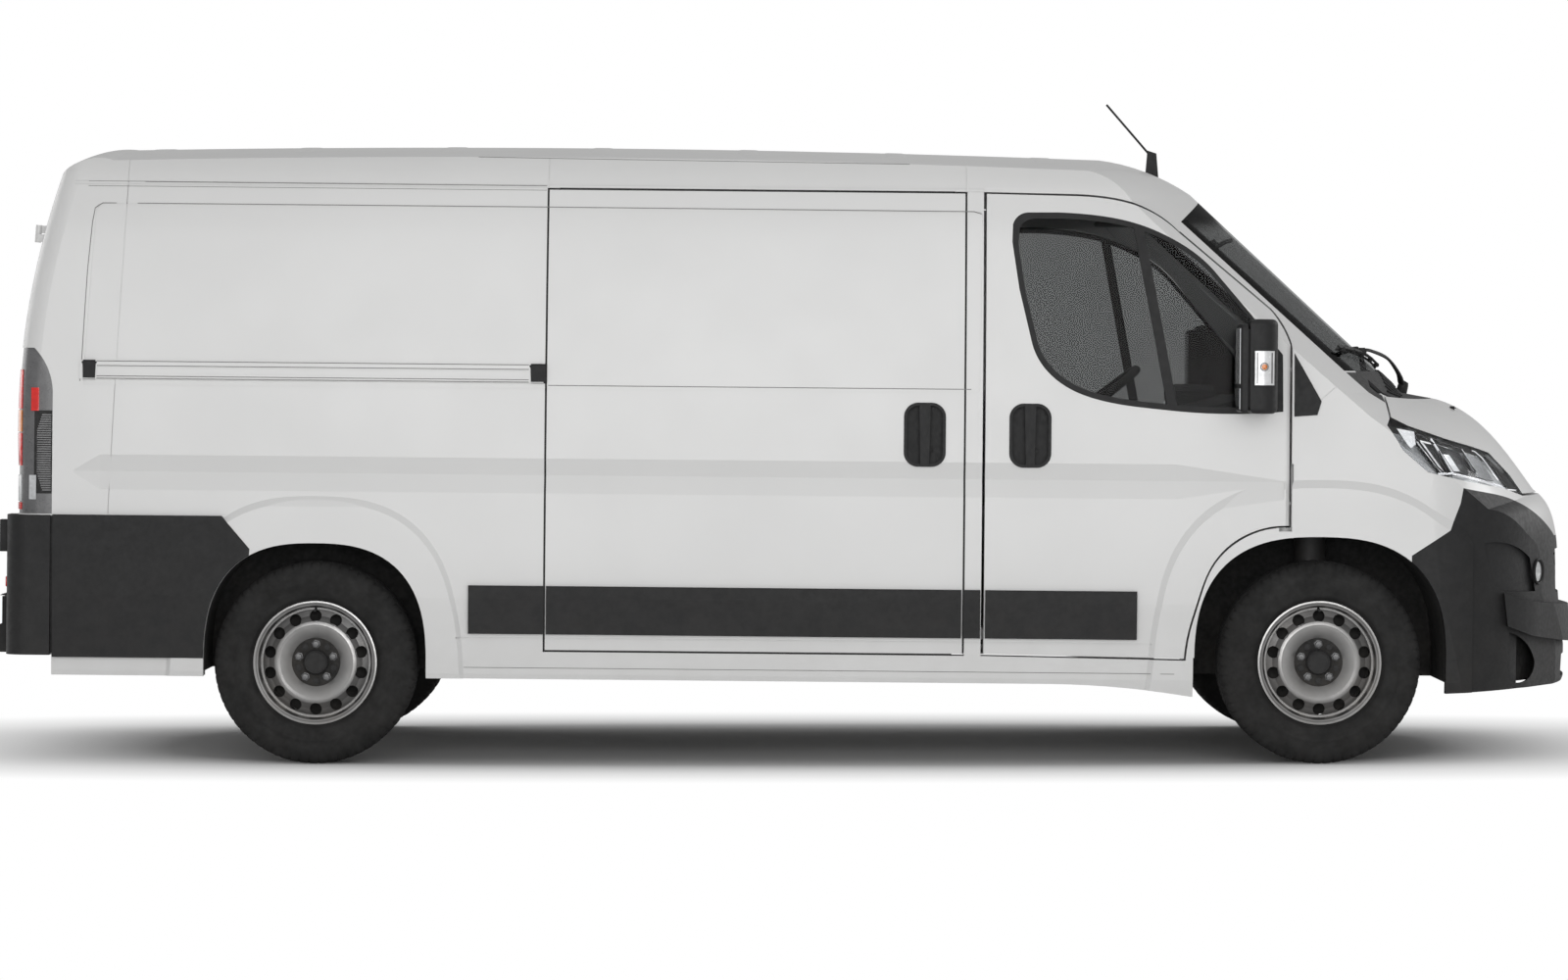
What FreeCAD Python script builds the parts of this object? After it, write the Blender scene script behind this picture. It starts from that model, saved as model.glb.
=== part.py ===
import FreeCAD, Part, Sketcher
import math
import os
from FreeCAD import Vector, Placement, Rotation

# A mid-length, low-roof panel van: white pressed-steel body on a front-drive
# chassis, +X forward, +Z up, ground at z = 0, millimetres. The body stands
# nose-down by rake_angle; the wheels, axles and chassis rails stay level.

os.makedirs("parts", exist_ok=True)
doc = FreeCAD.newDocument("panel_van")
sheet = doc.addObject("Spreadsheet::Sheet", "Sizes")

SIZES = [
    ("wheelbase", 3450), ("front_overhang", 1000), ("rear_overhang", 1125),
    ("front_track", 1810), ("rear_track", 1790), ("rake_angle", 0.54),
    # wheels
    ("tyre_radius", 348), ("tyre_width", 225), ("rim_radius", 212), ("bead_radius", 196),
    ("tyre_shoulder", 34), ("bolt_circle", 59), ("bolt_radius", 9), ("hub_bore_radius", 30),
    ("vent_circle", 160), ("vent_radius", 20.5), ("vent_count", 14), ("spindle_clearance", 0.3),
    # body envelope
    ("half_width", 1014), ("sill_half_width", 980), ("gutter_half_width", 935),
    ("sill_bottom", 283), ("sill_top", 384), ("gutter_height", 1972), ("roof_height", 2140),
    ("belt_height", 984), ("floor_height", 535), ("cab_floor_height", 470),
    ("wall_thickness", 90), ("roof_thickness", 40), ("floor_thickness", 40),
    ("panel_gap", 7), ("glass_thickness", 6), ("skin_thickness", 28),
    ("tail_skin", 1032), ("tail_corner", 75), ("nose_corner", 450),
    # front profile, from the front axle
    ("header_height", 1972), ("screen_base_height", 1368),
    ("bonnet_rear_x", 495), ("bonnet_lip_x", 853), ("bonnet_lip_height", 951),
    ("nose_x", 946), ("nose_height", 560), ("bumper_x", 964), ("bumper_height", 400),
    ("front_bow", 300), ("roof_crown", 83),
    # cab door, from the front axle
    ("door_front_x", -110), ("door_rear_x", -1155), ("door_sill_x", -468), ("door_shoulder", 834),
    ("front_arch_half", 432), ("front_arch_rise", 433), ("rear_arch_half", 382), ("rear_arch_rise", 412),
    ("arch_power", 2.6), ("flare_height", 13), ("panel_sink", 3.5), ("handle_depth", 26),
    # sliding door, from the front axle
    ("slider_front_x", -1229), ("slider_rear_x", -2661),
    # rear end, from the rear axle
    ("rear_door_half", 830), ("rear_door_thickness", 80), ("rear_door_sill", 560),
    ("cladding_top", 834), ("cladding_bottom", 345),
    ("strip_top", 604), ("strip_bottom", 438), ("strip_thickness", 14),
    ("rail_bottom", 1300), ("rail_top", 1364),
    ("kingpin_half", 830), ("hinge_clearance", 0.3),
]
for row, (alias, value) in enumerate(SIZES, start=1):
    sheet.set("A%d" % row, alias)
    sheet.set("B%d" % row, str(value))
    sheet.setAlias("B%d" % row, alias)
doc.recompute()


class Sizes:
    """Reads a named size from the sheet."""

    def __getattr__(self, name):
        return float(sheet.get(name))


d = Sizes()

RAKE = math.radians(d.rake_angle)
MID_X = (d.rear_overhang - d.front_overhang) / 2
FRONT = d.wheelbase / 2
REAR = -FRONT
AXLE_Z = d.tyre_radius
LEVEL = Placement(Vector(MID_X, 0, 0), Rotation())


def raked_placement():
    """Turns a body-frame shape nose-down about the mid-wheelbase point at axle height."""
    turn = Rotation(Vector(0, 1, 0), d.rake_angle)
    pivot = Vector(0, 0, AXLE_Z)
    return Placement(pivot + Vector(MID_X, 0, 0) - turn.multVec(pivot), turn)


BODY = raked_placement()


def raked(x, z):
    """A body-frame side-view point, as level coordinates before the MID_X shift."""
    point = BODY.multVec(Vector(x, 0, z))
    return point.x - MID_X, point.z


def loop(steps, at):
    """Closed wire: a pair is a corner, a list of pairs is one smooth run."""
    edges = []
    first = last = at(*steps[0])
    for step in steps[1:]:
        if isinstance(step, list):
            points = [last] + [at(*pair) for pair in step]
            if len(points) == 3:
                edges.append(Part.Arc(*points).toShape())
            else:
                curve = Part.BSplineCurve()
                curve.interpolate(points)
                edges.append(curve.toShape())
            last = points[-1]
        else:
            point = at(*step)
            if last.distanceToPoint(point) > 0.01:
                edges.append(Part.makeLine(last, point))
            last = point
    if last.distanceToPoint(first) > 0.01:
        edges.append(Part.makeLine(last, first))
    return Part.Wire(edges)


def side_slab(steps, y0, y1):
    """A side-view outline of (x, z) steps, from y0 to y1."""
    face = Part.Face(loop(steps, lambda x, z: Vector(x, y0, z)))
    return face.extrude(Vector(0, y1 - y0, 0))


def front_slab(steps, x0, x1):
    """A front-view outline of (y, z) steps, from x0 to x1."""
    face = Part.Face(loop(steps, lambda y, z: Vector(x0, y, z)))
    return face.extrude(Vector(x1 - x0, 0, 0))


def plan_slab(steps, z0, z1):
    """A plan-view outline of (x, y) steps, from z0 to z1."""
    face = Part.Face(loop(steps, lambda x, y: Vector(x, y, z0)))
    return face.extrude(Vector(0, 0, z1 - z0))


def box(x0, x1, y0, y1, z0, z1):
    return Part.makeBox(x1 - x0, y1 - y0, z1 - z0, Vector(x0, y0, z0))


def rod(start, end, radius):
    start, end = Vector(*start), Vector(*end)
    return Part.makeCylinder(radius, (end - start).Length, start, end - start)


def mirrored(shape):
    return shape.mirror(Vector(0, 0, 0), Vector(0, 1, 0))


def pair(shape):
    """A +Y shape and its -Y mirror image."""
    return [shape, mirrored(shape)]


def round_bar(points, radius):
    """A bar of round section along straight runs, with ball corners."""
    bar = Part.makeSphere(radius, Vector(*points[0]))
    for start, end in zip(points, points[1:]):
        bar = bar.fuse([rod(start, end, radius), Part.makeSphere(radius, Vector(*end))])
    return bar


def piece(name, shapes, frame=BODY):
    """Adds one named sub-part, made of one or more separate solids."""
    solids = []
    for shape in shapes:
        solids += shape.Solids
    feature = doc.addObject("Part::Feature", name)
    feature.Label = name
    feature.Shape = solids[0] if len(solids) == 1 else Part.makeCompound(solids)
    feature.Placement = frame
    return feature


# Body envelope: closed side profiles lofted across the width, bowed back
# with the square of the distance from the centre plane.

SCREEN_BASE_X = FRONT + 375
SCREEN_BASE_Z = 1293
ROOF_Z = d.roof_height
TAIL_X = REAR - d.tail_skin


def profile(y):
    bow = (y / 1000.0) ** 2

    def at(x, z, back=0, drop=0):
        return Vector(x - back * bow, y, z - drop * bow)

    front = d.front_bow
    crown = d.roof_crown
    foot_rear = at(TAIL_X, 200)
    belt_rear = at(TAIL_X + 2, 1000)
    shoulder_rear = at(TAIL_X + 65, 1750)
    top_rear = at(TAIL_X + 135, ROOF_Z - 100, 0, 40)
    roof_rear = at(TAIL_X + 317, ROOF_Z - 18, 0, crown)
    roof_front = at(FRONT - 725, ROOF_Z - 22, 100, crown)
    header = at(FRONT - 390, ROOF_Z - 143, front, 60)
    screen_base = at(SCREEN_BASE_X, SCREEN_BASE_Z, front)
    cowl = at(FRONT + 465, 1278, front, 60)
    lip = at(FRONT + d.bonnet_lip_x, d.bonnet_lip_height, front, 60)
    nose = at(FRONT + d.nose_x, d.nose_height, front)
    bumper = at(FRONT + d.bumper_x, d.bumper_height, front)
    bumper_low = at(FRONT + d.bumper_x, 290, front)
    bumper_foot = at(FRONT + d.bumper_x - 23, 230, front)
    foot_front = at(FRONT + 875, 200, front)

    def smooth(*points):
        curve = Part.BSplineCurve()
        curve.interpolate(list(points))
        return curve.toShape()

    return Part.Wire([
        Part.makeLine(foot_rear, belt_rear),
        smooth(belt_rear, shoulder_rear, top_rear),
        Part.Arc(top_rear, at(TAIL_X + 197, ROOF_Z - 42, 0, 60), roof_rear).toShape(),
        Part.Arc(roof_rear, at(FRONT - 2425, ROOF_Z + 4, 0, crown), roof_front).toShape(),
        Part.Arc(roof_front, at(FRONT - 549, ROOF_Z - 64, 200, 72), header).toShape(),
        Part.makeLine(header, screen_base),
        Part.makeLine(screen_base, cowl),
        smooth(cowl, at(FRONT + 638, 1204, front, 110), at(FRONT + 709, 1138, front, 100), lip),
        smooth(lip, at(FRONT + 899, 905, front, 40), at(FRONT + 929, 824, front, 20),
               at(FRONT + 940, 735, front), nose),
        Part.makeLine(nose, bumper),
        Part.makeLine(bumper, bumper_low),
        Part.makeLine(bumper_low, bumper_foot),
        Part.makeLine(bumper_foot, foot_front),
        Part.makeLine(foot_front, foot_rear),
    ])


def cross_prism(inset, bulge=0):
    """The body's cross-section all along X, its sides moved in by inset or out by bulge."""
    wide = d.half_width - inset + bulge
    gutter = d.gutter_half_width - inset + bulge
    z = d.gutter_height
    sill = d.sill_half_width - inset + bulge

    def half(sign):
        def at(y, height):
            return Vector(-3200, sign * y, height)

        lower = [at(sill, 200), at(sill + 15, 300), at(wide - 4, 560), at(wide, 930), at(wide - 2, 1090)]
        edges = [Part.makeLine(a, b) for a, b in zip(lower, lower[1:])]
        edges.append(Part.Arc(lower[-1], at(wide - 24, 1560), at(gutter, z)).toShape())
        edges.append(Part.Arc(at(gutter, z), at(gutter - 33, z + 80), at(gutter - 105, z + 140)).toShape())
        edges.append(Part.makeLine(at(gutter - 105, z + 140), at(0, z + 218)))
        return edges

    base = Part.makeLine(Vector(-3200, sill, 200), Vector(-3200, -sill, 200))
    wire = Part.Wire(Part.__sortEdges__(half(1) + half(-1) + [base]))
    return Part.Face(wire).extrude(Vector(6400, 0, 0))


def nose_plan(inset):
    """The plan-view outline of the front corners, all the way up."""
    wide = d.half_width - inset
    radius = d.nose_corner
    turn = math.radians(62)
    start_x = FRONT + 355
    centre_y = wide - radius
    steps = []
    for sign in (1, -1):
        def on_arc(angle):
            return start_x + radius * math.sin(angle), sign * (centre_y + radius * math.cos(angle))
        end = on_arc(turn)
        out = (end[0] + 450 * math.cos(turn), end[1] - sign * 450 * math.sin(turn))
        run = [(-3000, sign * wide), (start_x, sign * wide), [on_arc(turn / 2), end], out]
        if sign == 1:
            steps += run + [(FRONT + 1300, 0)]
        else:
            steps += [run[3], run[2][1], [run[2][0], run[1]], run[0]]
    return plan_slab(steps, 100, 2400)


def loft_body():
    stations = (-1200, -600, 0, 600, 1200)
    return Part.makeLoft([profile(y) for y in stations], True, False)


LOFT = loft_body()


def moved(shape, x, z):
    copy = shape.copy()
    copy.translate(Vector(x, 0, z))
    return copy


def round_tail(shape):
    """Rounds the upright rear corners."""
    edges = []
    for edge in shape.Edges:
        reach = edge.BoundBox
        upright = reach.ZLength > 60 and reach.XMax < TAIL_X + 250
        if upright and min(abs(reach.YMin), abs(reach.YMax)) > 860:
            edges.append(edge)
    return shape.makeFillet(d.tail_corner, edges)


OUTER = round_tail(LOFT.common(cross_prism(0)).common(nose_plan(0)).Solids[0])
BENEATH = moved(LOFT, -25, -22).common(cross_prism(d.skin_thickness)).common(nose_plan(d.skin_thickness))
BENEATH = BENEATH.common(moved(LOFT, 40, -22))
INNER = moved(LOFT, -40, -d.roof_thickness).common(cross_prism(d.wall_thickness))
INNER = INNER.common(moved(LOFT, d.rear_door_thickness, -d.roof_thickness))
SHELL = OUTER.cut(INNER)
SKIN = OUTER.cut(BENEATH)

# Wheel arches. Their centres follow the level axles, seen in the raked body.

FRONT_ARCH = (FRONT, AXLE_Z + FRONT * math.tan(RAKE))
REAR_ARCH = (REAR, AXLE_Z + REAR * math.tan(RAKE))


def arch_outline(centre, half, rise, foot):
    """A flat-topped arch over centre, with straight legs down to foot."""
    x0, z0 = centre
    power = 2.0 / d.arch_power
    points = []
    for step in range(17):
        angle = math.pi * step / 16
        c, s = math.cos(angle), math.sin(angle)
        points.append((x0 + half * math.copysign(abs(c) ** power, c), z0 + rise * abs(s) ** power))
    return [(x0 + half, foot), points[0], points[1:], (x0 - half, foot)]


def arch_slab(centre, half, rise, y0, y1, foot=100):
    return side_slab(arch_outline(centre, half, rise, foot), y0, y1)


FRONT_OPENING = arch_slab(FRONT_ARCH, d.front_arch_half, d.front_arch_rise, 560, 1300)
REAR_OPENING = arch_slab(REAR_ARCH, d.rear_arch_half, d.rear_arch_rise, 640, 1300)

# Where the panels meet, as side-view outlines.

GUTTER = d.gutter_height
GAP = d.panel_gap
DOOR_FRONT = FRONT + d.door_front_x
DOOR_REAR = FRONT + d.door_rear_x
SHOULDER = d.door_shoulder
SLIDER_FRONT = FRONT + d.slider_front_x
SLIDER_REAR = FRONT + d.slider_rear_x


def door_outline(grow):
    """The cab door, or with grow its opening in the body."""
    foot = [
        (FRONT + d.door_sill_x + grow, d.sill_top - 9 - grow),
        [(FRONT - 452 + grow, 475), (FRONT - 426 + grow, 564), (FRONT - 379 + grow, 689),
         (FRONT - 325 + grow, 757 - grow / 2), (FRONT - 209, SHOULDER - 12 - grow),
         (DOOR_FRONT, SHOULDER - grow)],
    ]
    head = [
        (DOOR_FRONT + grow, SHOULDER - grow),
        (DOOR_FRONT + grow, 1455 + grow / 2),
        [(DOOR_FRONT - 14 + grow, 1505 + grow / 2), (DOOR_FRONT - 59 + grow, 1577 + grow / 2)],
        (FRONT - 485 + grow, GUTTER - 134 + grow / 2),
        [(FRONT - 576, GUTTER - 67.5 + grow), (FRONT - 711, GUTTER - 24 + grow),
         (FRONT - 846, GUTTER - 11 + grow)],
    ]
    rear = [(DOOR_REAR - grow, GUTTER - 6 + grow), (DOOR_REAR - grow, d.sill_top - grow)]
    return foot + head + rear


def roof_seam(shift):
    """The roof's lower edge along the side, and down in front of the door to the windscreen."""
    return [
        (DOOR_REAR - 10, GUTTER + shift), (FRONT - 846, GUTTER - 4 + shift),
        [(FRONT - 711, GUTTER - 17 + shift), (FRONT - 576, GUTTER - 61 + shift),
         (FRONT - 485, GUTTER - 129 + shift)],
        (FRONT - 435, GUTTER - 90 + shift), (FRONT - 358, GUTTER + 4 + shift),
    ]


ROOF_REGION = [(-3200, GUTTER)] + roof_seam(0) + [(FRONT - 200, GUTTER + 196), (FRONT - 200, 2400),
                                                  (-3200, 2400)]
WING_REAR_TOP = (FRONT - 5, 1267)
WING_FRONT_TOP = (FRONT + 102, 1363)
BONNET_CORNER = FRONT + 240
LAMP_TIP = (FRONT + 225, 1182)
LAMP_TOP = [LAMP_TIP, (FRONT + 305, 1173), (FRONT + 440, 1130), (FRONT + 562, 1098),
            (FRONT + 627, 1078), (FRONT + 705, 1000), (FRONT + 750, 935)]
LAMP_BOTTOM = [(FRONT + 664, 964), (FRONT + 509, 990), (FRONT + 364, 1022), (FRONT + 279, 1095)]
BUMPER_TOP = [(FRONT + 310, 736), (FRONT + 443, 824), (FRONT + 479, 916), (FRONT + 489, 969),
              [(FRONT + 600, 949), (FRONT + 684, 929), (FRONT + 752, 898), (FRONT + 824, 850),
               (FRONT + 890, 792)],
              (FRONT + 1200, 772)]

WINDOW_SILL = 1208
SCREEN_TOP_HALF = 765
SCREEN_BOTTOM_HALF = 802
SCREEN_FOOT = d.screen_base_height


def screen_region(grow):
    top = GUTTER - 91
    return [
        (-SCREEN_BOTTOM_HALF - grow, SCREEN_FOOT - grow), (SCREEN_BOTTOM_HALF + grow, SCREEN_FOOT - grow),
        (SCREEN_TOP_HALF + grow, top + grow), [(0, d.header_height + grow),
                                               (-SCREEN_TOP_HALF - grow, top + grow)],
    ]


SCREEN_OPENING = front_slab(screen_region(0), FRONT - 700, FRONT + 500)

# Cab door and its opening, modelled on the +Y side.

HINGE_X = DOOR_FRONT - 14
HINGE_Y = d.half_width - 14
HINGE_FOOT = 910
DOOR_LEAN = -14.0 / 460.0
NOSE_RADIUS = 15.5
WALL_INNER = d.half_width - d.wall_thickness
DOOR_HINGES = ((880, 940), (1340, 1400))
ARM_THICKNESS = 12


def hinge_point(z):
    """The cab door's hinge line leans in with the side, here at height z."""
    return Vector(HINGE_X, HINGE_Y + (z - HINGE_FOOT) * DOOR_LEAN, z)


def hinge_rod(low, high, radius):
    return rod(hinge_point(low), hinge_point(high), radius)


def door_space():
    """The opening that the door stands in: the outline with its gaps, deeper gaps inside."""
    space = side_slab(door_outline(GAP), 700, 1200)
    rear_gap = box(DOOR_REAR - GAP - 3, DOOR_REAR, 700, 1200, d.sill_top - GAP, GUTTER - 6 + GAP)
    inner_gap = box(DOOR_REAR - 18, DOOR_REAR, 700, d.gutter_half_width - 22, d.sill_top - GAP,
                    GUTTER - 6 + GAP)
    return space.fuse([rear_gap, inner_gap]).removeSplitter()


DOOR_SPACE = door_space()
WINDOW = [
    (FRONT - 1065, 1861), [(FRONT - 1044, 1892), (FRONT - 1010, 1903)], (FRONT - 907, 1904),
    [(FRONT - 752, 1892), (FRONT - 649, 1871), (FRONT - 529, 1823.5), (FRONT - 433, 1764),
     (FRONT - 356, 1688)],
    (FRONT - 247, 1560), (DOOR_FRONT - 26, 1420), (DOOR_FRONT - 24, 1225),
    [(FRONT - 253, 1217), (FRONT - 536, 1227)],
    [(FRONT - 661, 1240), (FRONT - 764, 1259), (FRONT - 867, 1297), (FRONT - 944, 1356), (FRONT - 997, 1450)],
    (FRONT - 1042, 1638), (FRONT - 1067, 1801),
]


def window_slab(shrink, y0, y1):
    """The side window's outline; a positive shrink draws it in on every side."""
    flat = [p for step in WINDOW for p in (step if isinstance(step, list) else [step])]
    xs = [p[0] for p in flat]
    zs = [p[1] for p in flat]
    centre = ((min(xs) + max(xs)) / 2, (min(zs) + max(zs)) / 2)
    scale = (1 - 2 * shrink / (max(xs) - min(xs)), 1 - 2 * shrink / (max(zs) - min(zs)))

    def drawn_in(point):
        return tuple(centre[i] + (point[i] - centre[i]) * scale[i] for i in (0, 1))

    steps = [[drawn_in(p) for p in step] if isinstance(step, list) else drawn_in(step) for step in WINDOW]
    return side_slab(steps, y0, y1)


# Pressed shapes added to or cut into the outer skin.

FLARE_TOP = d.flare_height


def flare(centre, half, rise, side, top):
    """A raised band round an arch, its shoulder sloping back to the skin."""
    wide = d.half_width
    outlines = []
    for spread, y in ((1.0, wide - 20), (0.7, wide + 14)):
        steps = arch_outline(centre, half + side * spread, rise + top * spread, 200)
        outlines.append(loop(steps, lambda x, z: Vector(x, y, z)))
    band = Part.makeLoft(outlines, True, True)
    return band.common(cross_prism(0, FLARE_TOP)).common(nose_plan(-FLARE_TOP))


def belt_groove():
    """A V-shaped crease along the belt, running out at both ends."""
    skin = d.half_width - 1
    sections = []
    for x, depth in ((TAIL_X + 200, 0.5), (TAIL_X + 290, 14), (FRONT - 500, 14), (FRONT - 130, 0.5)):
        reach = 40 + 14 - depth
        steps = [(skin - depth, d.belt_height), (skin - depth + reach, d.belt_height - reach * 4.2),
                 (skin - depth + reach, d.belt_height + reach * 4.2)]
        sections.append(loop(steps, lambda y, z: Vector(x, y, z)))
    return Part.makeLoft(sections, True, True)


PANEL_TOP = 1904
PANEL_FOOT = 1278
PANEL_FRONT = DOOR_REAR - 14
PANEL_REAR = REAR - 770


def seam(points, width, depth):
    """A narrow groove along a side-view run of points, on both flanks."""
    over = [(x, z + width / 2) for x, z in points]
    under = [(x, z - width / 2) for x, z in reversed(points)]
    return pair(side_slab(over + under, 700, 1200).cut(cross_prism(depth)))


def upright_seam(low, high, width, depth):
    x0, z0 = low
    x1, z1 = high
    outline = [(x0 - width / 2, z0), (x0 + width / 2, z0), (x1 + width / 2, z1), (x1 - width / 2, z1)]
    return pair(side_slab(outline, 700, 1200).cut(cross_prism(depth)))


def flank_pressings():
    """The sunk upper panel, and the fine grooves where sheets meet."""
    r = 16
    corner = 0.3 * r
    panel = [
        (PANEL_REAR - 34, PANEL_FOOT), (PANEL_FRONT - 6 - r, PANEL_FOOT),
        [(PANEL_FRONT - 6 - corner, PANEL_FOOT + corner), (PANEL_FRONT - 6, PANEL_FOOT + r)],
        (PANEL_FRONT, PANEL_TOP - r), [(PANEL_FRONT - corner, PANEL_TOP - corner),
                                       (PANEL_FRONT - r, PANEL_TOP)],
        (PANEL_REAR + r, PANEL_TOP), [(PANEL_REAR + corner, PANEL_TOP - corner), (PANEL_REAR, PANEL_TOP - r)],
    ]
    cutters = pair(side_slab(panel, 700, 1200).cut(cross_prism(d.panel_sink)))
    cutters += seam([(TAIL_X + 90, GUTTER), (DOOR_REAR - 8, GUTTER)], 3, 3)
    cutters += seam([(TAIL_X + 90, GUTTER + 10), (DOOR_REAR - 8, GUTTER + 10)], 2.5, 2.5)
    cutters += seam([(REAR + 484, 423), (FRONT - 578, 423)], 5, 3)
    cutters += seam([WING_REAR_TOP, WING_FRONT_TOP], 4, 4)
    cutters += upright_seam((TAIL_X + 319, d.cladding_top + 4), (TAIL_X + 370, GUTTER), 3, 6)
    for x in (TAIL_X + 370, SLIDER_REAR - 3, SLIDER_FRONT + 3):
        cutters += upright_seam((x, GUTTER), (x, GUTTER + 110), 3, 3)
    return cutters


BULGED = OUTER
for shape in pair(flare(FRONT_ARCH, d.front_arch_half, d.front_arch_rise, 165, 235)):
    BULGED = BULGED.fuse(shape)
for shape in pair(flare(REAR_ARCH, d.rear_arch_half, d.rear_arch_rise, 130, 195)):
    BULGED = BULGED.fuse(shape)
BULGED = BULGED.cut(pair(belt_groove()) + flank_pressings())
SHELL = BULGED.cut(INNER)
SKIN = BULGED.cut(BENEATH)


def liner_outer(centre, half, rise, inner, outer, foot):
    return arch_slab(centre, half + 4, rise + 4, inner, outer, foot)


def liner(centre, half, rise, inner, outer, foot):
    """A wheel house: an arched tunnel closed on its inboard side."""
    whole = liner_outer(centre, half, rise, inner, outer, foot)
    return whole.cut(arch_slab(centre, half, rise, inner + 4, outer + 10, foot - 50))


FRONT_LINER = (FRONT_ARCH, d.front_arch_half, d.front_arch_rise, 571, d.half_width - d.skin_thickness - 4,
               300)
REAR_LINER = (REAR_ARCH, d.rear_arch_half, d.rear_arch_rise, 704, d.half_width - 25, 300)
FRONT_LINER_SPACE = liner_outer(*FRONT_LINER[:3], FRONT_LINER[3], 1300, 100)
REAR_LINER_SPACE = liner_outer(*REAR_LINER[:3], REAR_LINER[3], d.half_width - 25, 100)

# Front wings.

WING_REGION = [
    (FRONT - 480, 378), (FRONT + 310, 378)] + BUMPER_TOP[:4] + LAMP_BOTTOM[1:] + [
    LAMP_TIP, (BONNET_CORNER, 1206), (BONNET_CORNER, 1420), (FRONT + 102, 1420), WING_FRONT_TOP,
    WING_REAR_TOP,
    (FRONT - 12, 1215), (DOOR_FRONT, WINDOW_SILL), (FRONT - 480, WINDOW_SILL),
]
WING_SPACE = side_slab(WING_REGION, 560, 1200).cut(box(FRONT - 600, FRONT + 600, 500, SCREEN_BOTTOM_HALF,
                                                       1200, 1500))
NOSE_SWEEP = 32
WING = SKIN.common(WING_SPACE).cut(DOOR_SPACE).cut(FRONT_OPENING)
WING = WING.cut(hinge_rod(SHOULDER - 20, SHOULDER + 212, NOSE_SWEEP))
piece("front_wings", pair(WING))

# Body sides: the thick wall from the tail to the windscreen pillar.

SIDE_REGION = [
    (-3200, d.sill_bottom), (FRONT - 935, d.sill_bottom),
    [(FRONT - 700, d.sill_bottom - 9), (FRONT - 444, d.sill_bottom - 39)],
    (FRONT - 5, d.sill_bottom - 39), WING_REAR_TOP, WING_FRONT_TOP,
    (FRONT + 200, 1363), (FRONT + 200, 2400), (-3200, 2400),
]
TAIL_LAMP = [(-3200, 1405), (TAIL_X + 60, 1405), [(TAIL_X + 110, 1330), (TAIL_X + 126, 1235)],
             (TAIL_X + 127, 836), (-3200, 836)]
DOOR_HALF = d.rear_door_half
LAMP_INNER = DOOR_HALF + 20


def slider_space(grow):
    """The sliding door's outline in the right-hand wall, modelled on +Y."""
    return box(SLIDER_REAR - grow, SLIDER_FRONT + grow, 700, 1200, d.sill_top - grow, GUTTER - 6 + grow)


TAIL_SPACE = side_slab(TAIL_LAMP, LAMP_INNER, 1200)
TAIL_PIECE = SKIN.common(TAIL_SPACE)
ROOF_SPACE = side_slab(ROOF_REGION, -1300, 1300)


def body_side():
    wall = SHELL.common(side_slab(SIDE_REGION, 700, 1200))
    rear_opening = box(-3200, TAIL_X + 400, 0, DOOR_HALF + 3, 100, 2400)
    for tool in (ROOF_SPACE, SCREEN_OPENING, DOOR_SPACE, FRONT_LINER_SPACE, WING, rear_opening):
        wall = wall.cut(tool)
    wall = wall.cut(REAR_LINER_SPACE).cut(REAR_OPENING).cut(TAIL_PIECE)
    return wall.cut(box(-3200, TAIL_X + 127, 0, 1200, 100, d.cladding_bottom + 20))


SIDE_WALL = max(body_side().Solids, key=lambda solid: solid.Volume)


def hinge_arms():
    """Two arms out of the hinge pillar, each with a pin up and down."""
    arms = []
    for low, high in DOOR_HINGES:
        middle = (low + high) / 2
        half = ARM_THICKNESS / 2
        y = hinge_point(middle).y
        web = box(HINGE_X - 3, HINGE_X + 3, y - 50, y, middle - half, middle + half)
        bar = box(HINGE_X - 3, HINGE_X + 70, y - 62, y - 27, middle - half, middle + half)
        eye = hinge_rod(middle - half, middle + half, 8)
        pin = hinge_rod(low, high, 5)
        arms.append(bar.fuse([web, eye, pin]))
    return arms


ARMS = hinge_arms()
SIDE_WALL = SIDE_WALL.cut(hinge_rod(SHOULDER - 40, SHOULDER + 212, NOSE_SWEEP))
LEFT_WALL = SIDE_WALL.fuse([arm.cut(WING) for arm in ARMS]).removeSplitter()
RIGHT_WALL = LEFT_WALL.cut(slider_space(GAP))
piece("body_side_left", [LEFT_WALL])
piece("body_side_right", [mirrored(RIGHT_WALL)])

# Roof, windscreen, scuttle, bonnet.

ROOF = SHELL.common(ROOF_SPACE).cut(SCREEN_OPENING)
piece("roof", [ROOF])
SCREEN = OUTER.cut(moved(LOFT, -0.68 * d.glass_thickness, -0.74 * d.glass_thickness)).common(SCREEN_OPENING)
piece("windscreen", [SCREEN])


def bonnet_plan(back):
    """Everything ahead of the bonnet's bowed rear edge, moved back by back."""
    steps = [
        (BONNET_CORNER + 3 - back, -1200), (BONNET_CORNER + 3 - back, -720),
        [(FRONT + 425 - back, -350), (FRONT + d.bonnet_rear_x - back, 0), (FRONT + 425 - back, 350),
         (BONNET_CORNER + 3 - back, 720)],
        (BONNET_CORNER + 3 - back, 1200), (FRONT + 1300, 1200), (FRONT + 1300, -1200),
    ]
    return plan_slab(steps, 700, 1600)


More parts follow.
